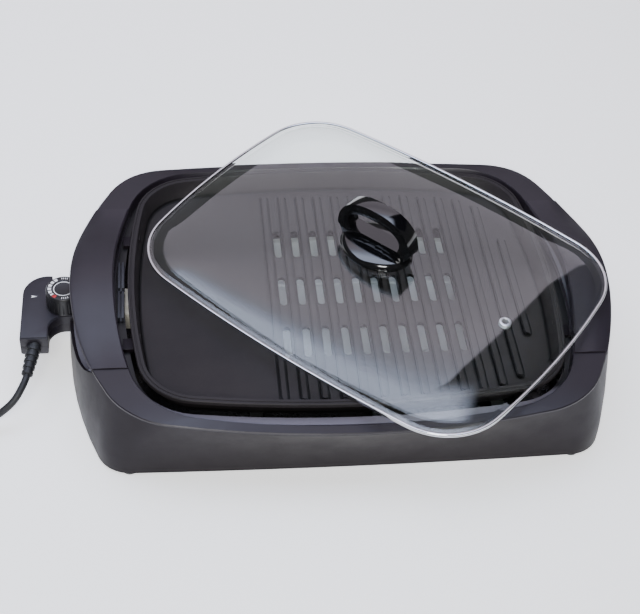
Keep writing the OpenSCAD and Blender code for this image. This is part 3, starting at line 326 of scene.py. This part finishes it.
stainless = scratched_metal("polished_stainless_steel", "#D3D5D9", "#C4C6CB", 0.16)
polished_steel = scratched_metal("mirror_stainless_steel", "#E2E3E6", "#D6D8DB", 0.07, line_mm=0.4)
satin_steel = scratched_metal("satin_stainless_steel", "#E2E3E6", "#D6D8DB", 0.38)
plated_steel = scratched_metal("zinc_plated_steel", "#B4B6B8", "#A0A3A3", 0.34)
oxide_steel = scratched_metal("heat_darkened_steel", "#4A4748", "#353335", 0.5)
tray_sheet = scratched_metal("etched_aluminium", "#D9DBDF", "#CFD1D6", 0.5, metallic=0.35)
brass = scratched_metal("drawn_brass", "#C9A65C", "#B08E48", 0.3)
bimetal = scratched_metal("rolled_bimetal", "#B07F55", "#94683F", 0.35)
print("metals:", stainless.name, plated_steel.name, oxide_steel.name, tray_sheet.name, brass.name)

# %% [markdown]
# ## Enamel, ceramic and glass
# The tub is enamelled steel: a black glass layer with orange peel. The terminal block is porcelain.
# The lid is tempered soda-lime glass with an IOR of 1.52 and the faint green of iron. The faces
# are fire polished, so only a very long, shallow wave disturbs them.

# %% Enamel, ceramic, glass
def black_enamel():
    """Fired enamel pools a little as it melts, which the 3 mm orange peel shows."""
    finish, tree, shader, place = start_finish("black_enamelled_steel", "#121114", 0.25, IOR=1.52)
    vary_roughness(tree, shader, place, 20, 0.2, 0.34)
    emboss(tree, shader, place, 3.0, 0.1, 0.3)
    return finish


def porcelain():
    """Unglazed, so it is matt and takes faint stains."""
    finish, tree, shader, place = start_finish("unglazed_porcelain", "#D9D3C4", 0.6, IOR=1.5)
    vary_colour(tree, shader, place, 8, "#CBC4B3", "#DED9CC")
    emboss(tree, shader, place, 0.7, 0.05, 0.4)
    return finish


def tempered_glass():
    """Clear glass, with a wave so long that only a reflection's edge shows it."""
    finish, tree, shader, place = start_finish("tempered_soda_lime_glass", "#F3F7F5", 0.0, IOR=1.52)
    shader.inputs["Transmission Weight"].default_value = 1.0
    emboss(tree, shader, place, 120, 0.25, 0.15, detail=0.0)
    # lamps reach through the pane as if it were thin and flat, which keeps the light under it clean
    path = add_node(tree, "ShaderNodeLightPath")
    thin = add_node(tree, "ShaderNodeBsdfTransparent", {}, {"Color": to_linear("#F4FAF7")})
    either = add_node(tree, "ShaderNodeMixShader", {}, {
        0: path.outputs["Is Shadow Ray"], 1: shader.outputs["BSDF"], 2: thin.outputs["BSDF"]})
    tree.links.new(either.outputs["Shader"], tree.nodes["Material Output"].inputs["Surface"])
    return finish


enamel = black_enamel()
ceramic = porcelain()
glass = tempered_glass()
print("other finishes:", enamel.name, ceramic.name, glass.name)

# %% [markdown]
# ## Dressing the solids
# The solids arrive with hard facets. A weld joins the split corners, a fine bevel gives each edge
# the small radius that a mould or a press leaves, and an edge split keeps true corners crisp while
# the curved walls shade smoothly. No vertex of the solid itself moves.

# %% Dress the solids
def smooth_faces(obj):
    """Drops the flat normals that the solid came with, so that curved walls can shade smoothly."""
    mesh = obj.data
    if "custom_normal" in mesh.attributes:
        mesh.attributes.remove(mesh.attributes["custom_normal"])
    mesh.polygons.foreach_set("use_smooth", [True] * len(mesh.polygons))


WELD_MM = 0.01
BEVEL_FROM, SPLIT_FROM = math.radians(38), math.radians(32)


def dress(name, finish, edge_mm):
    obj = nodes[name]
    smooth_faces(obj)
    obj.data.materials.clear()
    obj.data.materials.append(finish)
    weld = obj.modifiers.new("weld", "WELD")
    weld.merge_threshold = WELD_MM * MM
    if edge_mm:
        bevel = obj.modifiers.new("edge", "BEVEL")
        bevel.width = edge_mm * MM
        bevel.segments = 2
        bevel.limit_method = "ANGLE"
        bevel.angle_limit = BEVEL_FROM
    split = obj.modifiers.new("corners", "EDGE_SPLIT")
    split.split_angle = SPLIT_FROM


# each row is a solid, its finish and its edges' width in mm, where 0 leaves them as they are
DRESSING = [
    ("base_shell", charcoal, 0.0), ("top_frame", ring_charcoal, 0.0),
    ("handle_left", handle_grey, 0.0), ("handle_right", handle_grey, 0.0),
    ("recess_left", recess_painted_light, 0.0), ("recess_right", recess_painted_light, 0.0),
    ("handle_screws", plated_steel, 0.2), ("pan_screws", plated_steel, 0.2),
    ("base_pan", enamel, 0.0), ("foot_pads", foot_rubber, 0.3), ("plate_rests", charcoal, 0.5),
    ("socket_guard", guard_grey, 0.4), ("drip_tray", tray_sheet, 0.0),
    ("heating_element", oxide_steel, 0.0), ("heater_brackets", plated_steel, 0.15),
    ("terminal_block", ceramic, 0.5), ("terminal_pins", stainless, 0.0),
    ("grill_plate", nonstick, 0.0), ("probe_boss", nonstick, 0.4), ("probe_cheeks", nonstick, 0.4),
    ("vent_grommet", satin_steel, 0.3),
    ("lid_handle", phenolic, 1.6), ("handle_boss", phenolic, 0.8),
    ("lid_screw", plated_steel, 0.3), ("lid_washer", foot_rubber, 0.2),
    ("control_top", housing_black, 0.9), ("control_bottom", housing_black, 0.6),
    ("housing_screws", plated_steel, 0.1), ("probe_tube", stainless, 0.0),
    ("probe_collar", brass, 0.2), ("contact_sleeves", brass, 0.0),
    ("thermostat_frame", plated_steel, 0.1), ("bimetal_strip", bimetal, 0.1),
    ("contact_arm", brass, 0.1), ("dial_knob", dial_black, 0.4), ("dial_shaft", plated_steel, 0.2),
    ("strain_relief", pvc_jacket, 0.4), ("coil_tie", foot_rubber, 0.2),
    ("plug_body", pvc_jacket, 1.2), ("plug_blades", brass, 0.2),
]
for name, finish, edge in DRESSING:
    dress(name, finish, edge)
print("dressed", len(DRESSING), "solids")

# %% [markdown]
# ## The lead
# A 7 mm mains lead leaves the strain relief, bends down to the table and is stored in a flat coil
# of three and a quarter turns, side by side below and above. It could be a swept mesh, but a curve
# with a round bevel keeps its true centre line. It enters on the outer lower turn, works inward,
# climbs, works outward again and leaves from the outer upper turn to the plug.

# %% Lead
LEAD_D = 7.0
RELIEF_YAW, RELIEF_TILT = math.radians(12), math.radians(15)
RELIEF_LEN, MOUTH = 32, 6
GLAND = Vector((-304.2, -46, 51))
COIL_AT = Vector((-400, -64, 0))
COIL_MID, COIL_STEP, COIL_LOW = 38.5, 7.1, 3.7
COIL_START, COIL_END, COIL_POINTS = -90, -1260, 50
STEP_IN, STEP_UP, STEP_OUT = (-390, -445), (-690, -745), (-985, -1045)


def along_relief(distance):
    """The point so many millimetres out from the gland, along the strain relief."""
    return GLAND + distance * Vector((-math.sin(RELIEF_YAW) * math.cos(RELIEF_TILT),
                                      -math.cos(RELIEF_YAW) * math.cos(RELIEF_TILT), -math.sin(RELIEF_TILT)))


def ease(angle, span):
    """0 before the span, 1 after it, smooth between, as the lead goes round clockwise."""
    start, end = span
    share = min(1.0, max(0.0, (start - angle) / (start - end)))
    return share * share * (3 - 2 * share)


def coil_point(angle):
    """Clockwise from -90 degrees: in by one track, up by one layer, then out by one track."""
    track = 0.5 - ease(angle, STEP_IN) + ease(angle, STEP_OUT)
    layer = ease(angle, STEP_UP)
    radius = COIL_MID + track * COIL_STEP
    turn = math.radians(angle)
    return COIL_AT + Vector((radius * math.cos(turn), radius * math.sin(turn), COIL_LOW + layer * COIL_STEP))


# the lead starts in the sleeve's mouth, and its free points hang and land where such a lead would
free_run = [along_relief(RELIEF_LEN - MOUTH), along_relief(RELIEF_LEN + 2)] + [Vector(p) for p in (
    (-316, -90.5, 38.5), (-322, -98.5, 33), (-331, -104.5, 27), (-342, -108, 20), (-354, -109, 13),
    (-366, -108.6, 7.4), (-378, -107.4, 4.3), (-389, -106, 3.7))]
turns = [coil_point(COIL_START + (COIL_END - COIL_START) * i / COIL_POINTS) for i in range(COIL_POINTS + 1)]
tail_run = [Vector(p) for p in ((-442, -54, 10.7), (-442, -42, 10.1), (-442, -30, 9.1), (-442, -19, 8.6),
                                (-442, -9, 8.6))]
route = [p * MM for p in free_run + turns + tail_run]


def lead_curve(points):
    """The lead as a round curve through the points, and its length."""
    data = bpy.data.curves.new("mains_lead", "CURVE")
    data.dimensions = "3D"
    data.resolution_u = 6
    data.bevel_depth = LEAD_D / 2 * MM
    data.bevel_resolution = 6
    data.use_fill_caps = True
    spline = data.splines.new("BEZIER")
    spline.bezier_points.add(len(points) - 1)
    for knot, point in zip(spline.bezier_points, points):
        knot.co = point
        knot.handle_left_type = knot.handle_right_type = "AUTO"
    obj = bpy.data.objects.new("mains_lead", data)
    bpy.context.scene.collection.objects.link(obj)
    data.materials.append(pvc_jacket)
    return obj, spline.calc_length()


mains_lead, lead_length = lead_curve(route)
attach(mains_lead, "control")
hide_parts("cord", "cord_coil", "cord_tail")
print("lead: %.3f m long" % lead_length)

# %% [markdown]
# ## The lid's outline
# From above, the lid is a soft rectangle of three arcs per quarter: a nearly flat end, a round
# corner and a nearly flat front, each tangent to the next. One function gives that outline at any
# inset and any fineness, so that the glass and its rim share it.

# %% Outline function
LID_HALF_X, LID_HALF_Y, LID_CORNER, LID_FRONT_R, LID_END_R = 213.0, 160.0, 68.0, 1700.0, 760.0


def soft_rectangle(half_x, half_y, corner, front_r, end_r, inset=0.0, steps=(10, 16, 8)):
    """One closed outline, drawn as a quarter from the right end to the back and mirrored twice."""
    front_c = Vector((0, half_y - front_r))
    end_c = Vector((half_x - end_r, 0))
    reach = end_c - front_c
    far = reach.length
    along = reach / far
    shift = ((front_r - corner) ** 2 - (end_r - corner) ** 2 + far * far) / (2 * far)
    rise = math.sqrt((front_r - corner) ** 2 - shift * shift)
    corner_c = front_c + along * shift + Vector((along.y, -along.x)) * rise
    to_end = math.atan2(corner_c.y, corner_c.x - end_c.x)
    to_front = math.atan2(corner_c.y - front_c.y, corner_c.x)
    arcs = [(end_c, end_r, 0, to_end, steps[0]), (corner_c, corner, to_end, to_front, steps[1]),
            (front_c, front_r, to_front, math.pi / 2, steps[2])]
    quarter = []
    for centre, radius, a0, a1, count in arcs:
        for i in range(count):
            a = a0 + (a1 - a0) * i / count
            quarter.append(centre + (radius - inset) * Vector((math.cos(a), math.sin(a))))
    quarter.append(Vector((0, half_y - inset)))
    left = [Vector((-p.x, p.y)) for p in reversed(quarter[:-1])]
    upper = quarter + left
    lower = [Vector((p.x, -p.y)) for p in reversed(upper[1:-1])]
    return upper + lower


print("outline points:", len(soft_rectangle(LID_HALF_X, LID_HALF_Y, LID_CORNER, LID_FRONT_R, LID_END_R)))

# %% [markdown]
# ## Where the lid lies
# The lid is loose. It rests on the plate's flange at the back left and the front, and on the crown
# of the right handle, and three resting points fix a plane. The matrix built from that
# plane and the lid's turn places everything that belongs to the lid.

# %% Lid placement
LID_AT = (34.7, 13.4)
LID_TURN = math.radians(-43.5)
REST_GAP = 0.3
PLATE_LENGTH, PLATE_DEPTH, PLATE_FRONT_R, FLANGE_W, FLANGE_TOP = 426.0, 334.0, 1125.0, 7.0, 90.0
BACK_REST_X, FRONT_REST_X = 0.28 * PLATE_LENGTH, 10.0
RING_LENGTH, HANDLE_CROWN_IN, HANDLE_TOP = 535.4, 9.7, 101.5


def flange_middle(x):
    """How far the middle of the plate's flange lies from the plate's long axis."""
    return PLATE_DEPTH / 2 - PLATE_FRONT_R + math.sqrt((PLATE_FRONT_R - FLANGE_W / 2) ** 2 - x * x)


def resting_points():
    """Where the lid's underside meets the flange's back, its front and the right handle's crown."""
    back_y = flange_middle(BACK_REST_X)
    back_v = (back_y - LID_AT[1] + LID_HALF_X * math.sin(LID_TURN)) / math.cos(LID_TURN)
    back = Vector((LID_AT[0] - LID_HALF_X * math.cos(LID_TURN) - back_v * math.sin(LID_TURN), back_y,
                   FLANGE_TOP + REST_GAP))
    front_y = -flange_middle(FRONT_REST_X)
    front_u = (front_y - LID_AT[1] + LID_HALF_Y * math.cos(LID_TURN)) / math.sin(LID_TURN)
    front = Vector((LID_AT[0] + front_u * math.cos(LID_TURN) + LID_HALF_Y * math.sin(LID_TURN), front_y,
                    FLANGE_TOP + REST_GAP))
    right = Vector((RING_LENGTH / 2 - HANDLE_CROWN_IN, 0, HANDLE_TOP + REST_GAP))
    return back, front, right


def lid_matrix():
    """Turns the lid about its middle, leans it into the resting plane and lifts it there."""
    back, front, right = resting_points()
    normal = (front - back).cross(right - back).normalized()
    if normal.z < 0:
        normal = -normal
    height = back.z - (normal.x * (LID_AT[0] - back.x) + normal.y * (LID_AT[1] - back.y)) / normal.z
    lean = Vector((0, 0, 1)).rotation_difference(normal).to_matrix().to_4x4()
    turn = Matrix.Rotation(LID_TURN, 4, "Z")
    return Matrix.Translation(Vector((*LID_AT, height)) * MM) @ lean @ turn @ Matrix.Scale(MM, 4)


LAID = lid_matrix()
print("lid centre height: %.1f mm" % (LAID.translation.z / MM))

# %% [markdown]
# ## Lofting rings of points
# The glass and the rim are lofts: a list of closed rings joined by quads, open or closed on itself.
# Revolving wouldn't do, because the outline isn't round, and a subdivided cage would round
# the corners by guesswork.

# %% Loft helper
def loft(name, rings, finish, body, cad_node, loop=False):
    """A skin over rings of equal count, capped at both ends or closed on itself."""
    mesh = bmesh.new()
    rows = [[mesh.verts.new(p) for p in ring] for ring in rings]
    pairs = list(zip(rows, rows[1:])) + ([(rows[-1], rows[0])] if loop else [])
    for low, high in pairs:
        for i in range(len(low)):
            k = (i + 1) % len(low)
            mesh.faces.new((low[i], low[k], high[k], high[i]))
    if not loop:
        mesh.faces.new(list(reversed(rows[0])))
        mesh.faces.new(rows[-1])
    bmesh.ops.recalc_face_normals(mesh, faces=mesh.faces)
    data = bpy.data.meshes.new(name)
    mesh.to_mesh(data)
    mesh.free()
    data.polygons.foreach_set("use_smooth", [True] * len(data.polygons))
    data.set_sharp_from_angle(angle=math.radians(50))
    data.transform(LAID)
    obj = bpy.data.objects.new(name, data)
    bpy.context.scene.collection.objects.link(obj)
    data.materials.append(finish)
    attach(obj, body)
    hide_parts(cad_node)
    return obj


print("the loft will lie at", [round(v / MM, 1) for v in LAID.translation], "mm")

# %% [markdown]
# ## The glass
# The pane is pressed: a flat margin that the rim grips, then a quick rise and a long shallow dome.
# Both faces follow the same height rule three millimetres apart, so the pane bends light like
# a real sheet and not like a solid lens.

# %% Glass pane
GLASS_T, GLASS_LOW, LID_RISE = 3.0, 0.8, 17.0
MARGIN, GRIPPED, ROUNDED = 6.5, 1.3, 1.0
SHOULDER, SHOULDER_POWER = 0.42, 14
DOME = tuple(v - MARGIN for v in (LID_HALF_X, LID_HALF_Y, LID_CORNER, LID_FRONT_R, LID_END_R))


def rise_at(share):
    """Height over the margin, from 0 at the dome's foot to the full rise in the middle."""
    return LID_RISE * (SHOULDER * (1 - share ** SHOULDER_POWER) + (1 - SHOULDER) * (1 - share * share))


def dome_ring(share, above):
    """The dome's outline shrunk to a share of its size, at its height plus so much above."""
    ring = soft_rectangle(*[v * share for v in DOME])
    return [Vector((p.x, p.y, GLASS_LOW + rise_at(share) + above)) for p in ring]


def glass_pane():
    """Rings crowd towards the shoulder, because the height changes fastest there."""
    shares = [0.02, 0.15, 0.3, 0.42, 0.54, 0.64, 0.72, 0.79, 0.84, 0.88, 0.91, 0.935, 0.955, 0.97, 0.982,
              0.992, 1.0]
    edge = soft_rectangle(LID_HALF_X, LID_HALF_Y, LID_CORNER, LID_FRONT_R, LID_END_R, inset=GRIPPED)
    under = [dome_ring(s, 0) for s in shares]
    over = [dome_ring(s, GLASS_T) for s in reversed(shares)]
    sides = [[Vector((p.x, p.y, z)) for p in edge] for z in (GLASS_LOW, GLASS_LOW + GLASS_T - ROUNDED)]
    return loft("glass_pane", under + sides + over, glass, "lid", "lid_glass")


pane = glass_pane()
print("pane faces:", len(pane.data.polygons))

# %% [markdown]
# ## The steel rim
# The rim is a thin stainless strip rolled round the edge of the pane. Its section is a C with
# full rounds above and below, which give the two bright lines that a rolled rim always shows. The
# dark line between them is the seal, which shows in the seam.

# %% Rim
RIM_H, RIM_W = 4.0, 2.6
SEAM_RINGS = (8, 9, 10)


def rim_section():
    """Inset and height of the rolled strip, once round, with a narrow seam half way up its side."""
    radius = 0.9
    low = [(radius - radius * math.sin(math.radians(a)), radius - radius * math.cos(math.radians(a)))
           for a in range(0, 91, 15)]
    seam = [(0, 1.5), (0.45, 1.6), (0.45, 2.1), (0, 2.2)]
    high = [(radius - radius * math.cos(math.radians(a)), RIM_H - radius + radius * math.sin(math.radians(a)))
            for a in range(0, 91, 15)]
    return low + seam + high + [(RIM_W - 0.4, RIM_H), (RIM_W, RIM_H - 0.3), (RIM_W, RIM_H - 0.6),
                                (1.0, RIM_H - 0.9), (1.0, 0.6), (RIM_W, 0.5), (RIM_W, 0)]


def steel_rim():
    """The strip, with the faces in its seam made of the seal's rubber."""
    rings = []
    for inset, z in rim_section():
        ring = soft_rectangle(LID_HALF_X, LID_HALF_Y, LID_CORNER, LID_FRONT_R, LID_END_R, inset=inset)
        rings.append([Vector((p.x, p.y, z)) for p in ring])
    strip = loft("rolled_rim", rings, polished_steel, "lid", "lid_rim", loop=True)
    strip.data.materials.append(foot_rubber)
    count = len(rings[0])
    for row in SEAM_RINGS:
        for face in strip.data.polygons[(row - 1) * count:row * count]:
            face.material_index = 1
    return strip


rim = steel_rim()
print("rim faces:", len(rim.data.polygons))

# %% [markdown]
# ## The dial's marks
# The dial's face is pad printed: a row of white blocks for the heat range, a red block where the
# heat is highest, a white circle and short strokes for the off place. A small arrow on the arm is
# what the scale is read against. Each mark is a thin raised patch of ink, because print stays crisp
# as geometry at any distance.

# %% Dial marks
DIAL_AT = Vector((-275.5, 0, 0))
PROBE_Z, HOUSING_H, DIAL_GAP, DIAL_H, DIAL_RECESS = 51.0, 23.5, 0.3, 20.7, 0.7
HOUSING_TOP = PROBE_Z + HOUSING_H / 2
DIAL_FACE_Z = HOUSING_TOP + DIAL_GAP + DIAL_H
ARROW_AT = (-306.2, 10.6)
INK_LIFT, INK_T = 0.01, 0.12
ARROW_LIFT, ARROW_T = 0.02, 0.1


def ink(name, colour):
    """Pad-printing ink, matt and a little uneven where the pad pressed less."""
    finish, tree, shader, place = start_finish(name, colour, 0.45, IOR=1.48)
    vary_roughness(tree, shader, place, 4, 0.38, 0.55)
    emboss(tree, shader, place, 0.5, 0.02, 0.4)
    return finish


white_ink = ink("pad_print_ink_white", "#E9E8E6")
red_ink = ink("pad_print_ink_red", "#B3282B")


def ring_patch(mesh, r0, r1, a0, a1, z, centre, steps=8):
    """A flat piece of a ring, between two radii in mm and two angles in degrees."""
    rows = []
    for r in (r0, r1):
        row = []
        for i in range(steps + 1):
            a = math.radians(a0 + (a1 - a0) * i / steps)
            row.append(mesh.verts.new((centre.x + r * math.cos(a), centre.y + r * math.sin(a), z)))
        rows.append(row)
    for i in range(steps):
        mesh.faces.new((rows[0][i], rows[1][i], rows[1][i + 1], rows[0][i + 1]))


def print_marks(name, patches, finish, body):
    """Patches of ink on one body, lifted to the ink's thickness."""
    mesh = bmesh.new()
    for r0, r1, a0, a1, z, centre in patches:
        ring_patch(mesh, r0, r1, a0, a1, z, centre)
    solid = bmesh.ops.extrude_face_region(mesh, geom=list(mesh.faces))
    lifted = [v for v in solid["geom"] if isinstance(v, bmesh.types.BMVert)]
    bmesh.ops.translate(mesh, verts=lifted, vec=(0, 0, INK_T))
    bmesh.ops.recalc_face_normals(mesh, faces=mesh.faces)
    data = bpy.data.meshes.new(name)
    mesh.to_mesh(data)
    mesh.free()
    data.transform(Matrix.Scale(MM, 4))
    obj = bpy.data.objects.new(name, data)
    bpy.context.scene.collection.objects.link(obj)
    data.materials.append(finish)
    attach(obj, body)
    return obj


face_low, face_edge = DIAL_FACE_Z - DIAL_RECESS + INK_LIFT, DIAL_FACE_Z + INK_LIFT
blocks = [(11.9, 15.2, a, a + 13, face_edge, DIAL_AT) for a in range(118, 214, 19)]
inner_ring = [(9.0, 9.9, a, a + 29.9, face_low, DIAL_AT) for a in range(0, 360, 30)]
off_marks = [(12.6, 14.8, a, a + 3, face_edge, DIAL_AT) for a in (74, 82, 90, 97, 264, 272, 280, 288)]
scale_marks = print_marks("dial_scale", blocks + inner_ring + off_marks, white_ink, "dial")
hot_block = [(11.9, 15.4, 221, 240, face_edge, DIAL_AT)]
hot_mark = print_marks("dial_hot_mark", hot_block, red_ink, "dial")


def arrow_mark():
    """A small printed arrow on the arm, which the dial's scale is read against."""
    top_z = HOUSING_TOP + ARROW_LIFT
    mesh = bmesh.new()
    face = mesh.faces.new([mesh.verts.new(p) for p in (
        (ARROW_AT[0] - 2.6, ARROW_AT[1] + 1.7, top_z), (ARROW_AT[0] - 2.0, ARROW_AT[1], top_z),
        (ARROW_AT[0] - 2.6, ARROW_AT[1] - 1.7, top_z), (ARROW_AT[0] + 3.0, ARROW_AT[1], top_z))])
    solid = bmesh.ops.extrude_face_region(mesh, geom=[face])
    lifted = [v for v in solid["geom"] if isinstance(v, bmesh.types.BMVert)]
    bmesh.ops.translate(mesh, verts=lifted, vec=(0, 0, ARROW_T))
    bmesh.ops.recalc_face_normals(mesh, faces=mesh.faces)
    data = bpy.data.meshes.new("arm_arrow")
    mesh.to_mesh(data)
    mesh.free()
    data.transform(Matrix.Scale(MM, 4))
    data.materials.append(white_ink)
    obj = bpy.data.objects.new("arm_arrow", data)
    bpy.context.scene.collection.objects.link(obj)
    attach(obj, "control")
    return obj


arrow = arrow_mark()
print("dial marks:", len(scale_marks.data.polygons) + len(hot_mark.data.polygons), "faces and", arrow.name)

# %% [markdown]
# ## Floor and light
# The set is a lit white table: its top glows softly, so the ground stays pale without a strong
# lamp. One very large soft panel hangs above and behind. It shines brightest at its near side and
# fades away from it. A flag cuts it off along a slanted edge, which the lid mirrors as a clean
# boundary, and the nearly dark room beyond keeps that side of the lid clear. A smaller panel in
# front, close to the camera's side, lights the tray under the slots.

# %% Floor and light
TABLE_REACH = 6.0
PANEL_Z = 1.5
PANEL_X, PANEL_Y = (-1.3, 2.2), (-0.3, 2.9)
# the flag's edge is the line y = SLANT * x + EDGE, drawn through one point, in metres
EDGE_POINT = (0.426, 0.644)
SLANT = 0.944
EDGE = EDGE_POINT[1] - SLANT * EDGE_POINT[0]
EDGE_BLUR = 0.03


def flat_sheet(name, corners, finish):
    """One flat face of the set around the object."""
    data = bpy.data.meshes.new(name)
    data.from_pydata(corners, [], [(0, 1, 2, 3)])
    obj = bpy.data.objects.new(name, data)
    bpy.context.scene.collection.objects.link(obj)
    data.materials.append(finish)
    return obj


def add_table():
    """A matt acrylic top, lit from inside and a little uneven in its polish."""
    finish, tree, shader, place = start_finish("lit_acrylic_table", "#F4F4F4", 0.9)
    shader.inputs["Emission Color"].default_value = to_linear("#FFFFFF")
    shader.inputs["Emission Strength"].default_value = 0.85
    vary_roughness(tree, shader, place, 300, 0.85, 0.95)
    corners = [(x * TABLE_REACH, y * TABLE_REACH, 0) for x, y in ((-1, -1), (1, -1), (1, 1), (-1, 1))]
    return flat_sheet("table", corners, finish)


def add_big_panel():
    """Bright at its near side, cut off along a slanted edge, with a soft tail in front of the corner."""
    finish = bpy.data.materials.new("big_soft_panel")
    finish.use_nodes = True
    tree = finish.node_tree
    tree.nodes.clear()
    lamp = add_node(tree, "ShaderNodeEmission")
    add_node(tree, "ShaderNodeOutputMaterial", {}, {"Surface": lamp.outputs["Emission"]})
    place = add_node(tree, "ShaderNodeTexCoord").outputs["Object"]
    split = add_node(tree, "ShaderNodeSeparateXYZ", {}, {"Vector": place})
    x, y = split.outputs["X"], split.outputs["Y"]
    # how far a point lies beyond the slanted edge, as a dot product with the edge's normal
    beyond = add_node(tree, "ShaderNodeVectorMath", {"operation": "DOT_PRODUCT"}, {
        0: place, 1: (-SLANT, 1.0, 0.0)})
    # each row is a name, what it follows, where it starts and ends in metres, and its value there
    steps = {}
    for name, value, low, high, at_low, at_high in (
            ("cut", beyond.outputs["Value"], EDGE, EDGE + EDGE_BLUR, 0.0, 1.0),
            ("tail_x", x, 0.3, 0.72, 1.0, 0.0), ("tail_y", y, 0.45, 0.66, 1.0, 0.0),
            ("near", y, 0.25, 0.8, 2.7, 1.0), ("far", y, 0.6, 1.5, 2.1, 1.15),
            ("cool", y, 0.5, 0.95, 0.0, 1.0)):
        span = add_node(tree, "ShaderNodeMapRange", {"interpolation_type": "SMOOTHSTEP"}, {
            "Value": value, "From Min": low, "From Max": high, "To Min": at_low, "To Max": at_high})
        steps[name] = span.outputs["Result"]
    product = steps["tail_x"]
    chain = (("MULTIPLY", "tail_y"), ("MAXIMUM", "cut"), ("MULTIPLY", "near"), ("MULTIPLY", "far"))
    for operation, name in chain:
        combined = add_node(tree, "ShaderNodeMath", {"operation": operation}, {0: product, 1: steps[name]})
        product = combined.outputs[0]
    tree.links.new(product, lamp.inputs["Strength"])
    tint = add_node(tree, "ShaderNodeMix", {"data_type": "RGBA"}, {
        "Factor": steps["cool"], 6: to_linear("#D9E3FF"), 7: to_linear("#F3E9F8")})
    tree.links.new(tint.outputs[2], lamp.inputs["Color"])
    corners = [(PANEL_X[i], PANEL_Y[k], PANEL_Z) for i, k in ((0, 0), (0, 1), (1, 1), (1, 0))]
    return flat_sheet("big_panel", corners, finish)


def add_panel(name, at, aim, size, power):
    """A soft box of the given width and height in metres and power in watts, turned to its aim."""
    light = bpy.data.lights.new(name, "AREA")
    light.shape = "RECTANGLE"
    light.size, light.size_y = size
    light.energy = power
    obj = bpy.data.objects.new(name, light)
    obj.location = at
    obj.rotation_euler = (Vector(aim) - Vector(at)).to_track_quat("-Z", "Y").to_euler()
    bpy.context.scene.collection.objects.link(obj)
    return obj


def set_sky(strength):
    """The room's own faint light, equal from all sides."""
    world = bpy.data.worlds.new("sky")
    bpy.context.scene.world = world
    world.use_nodes = True
    sky = world.node_tree.nodes["Background"]
    sky.inputs["Color"].default_value = to_linear("#FFFFFF")
    sky.inputs["Strength"].default_value = strength


table = add_table()
big_panel = add_big_panel()
set_sky(0.10)
front_panel = add_panel("front_panel", at=(-0.36, -1.93, 2.08), aim=(0, 0, 0.05), size=(0.9, 0.9), power=60)
print("lights:", table.name, big_panel.name, front_panel.name)
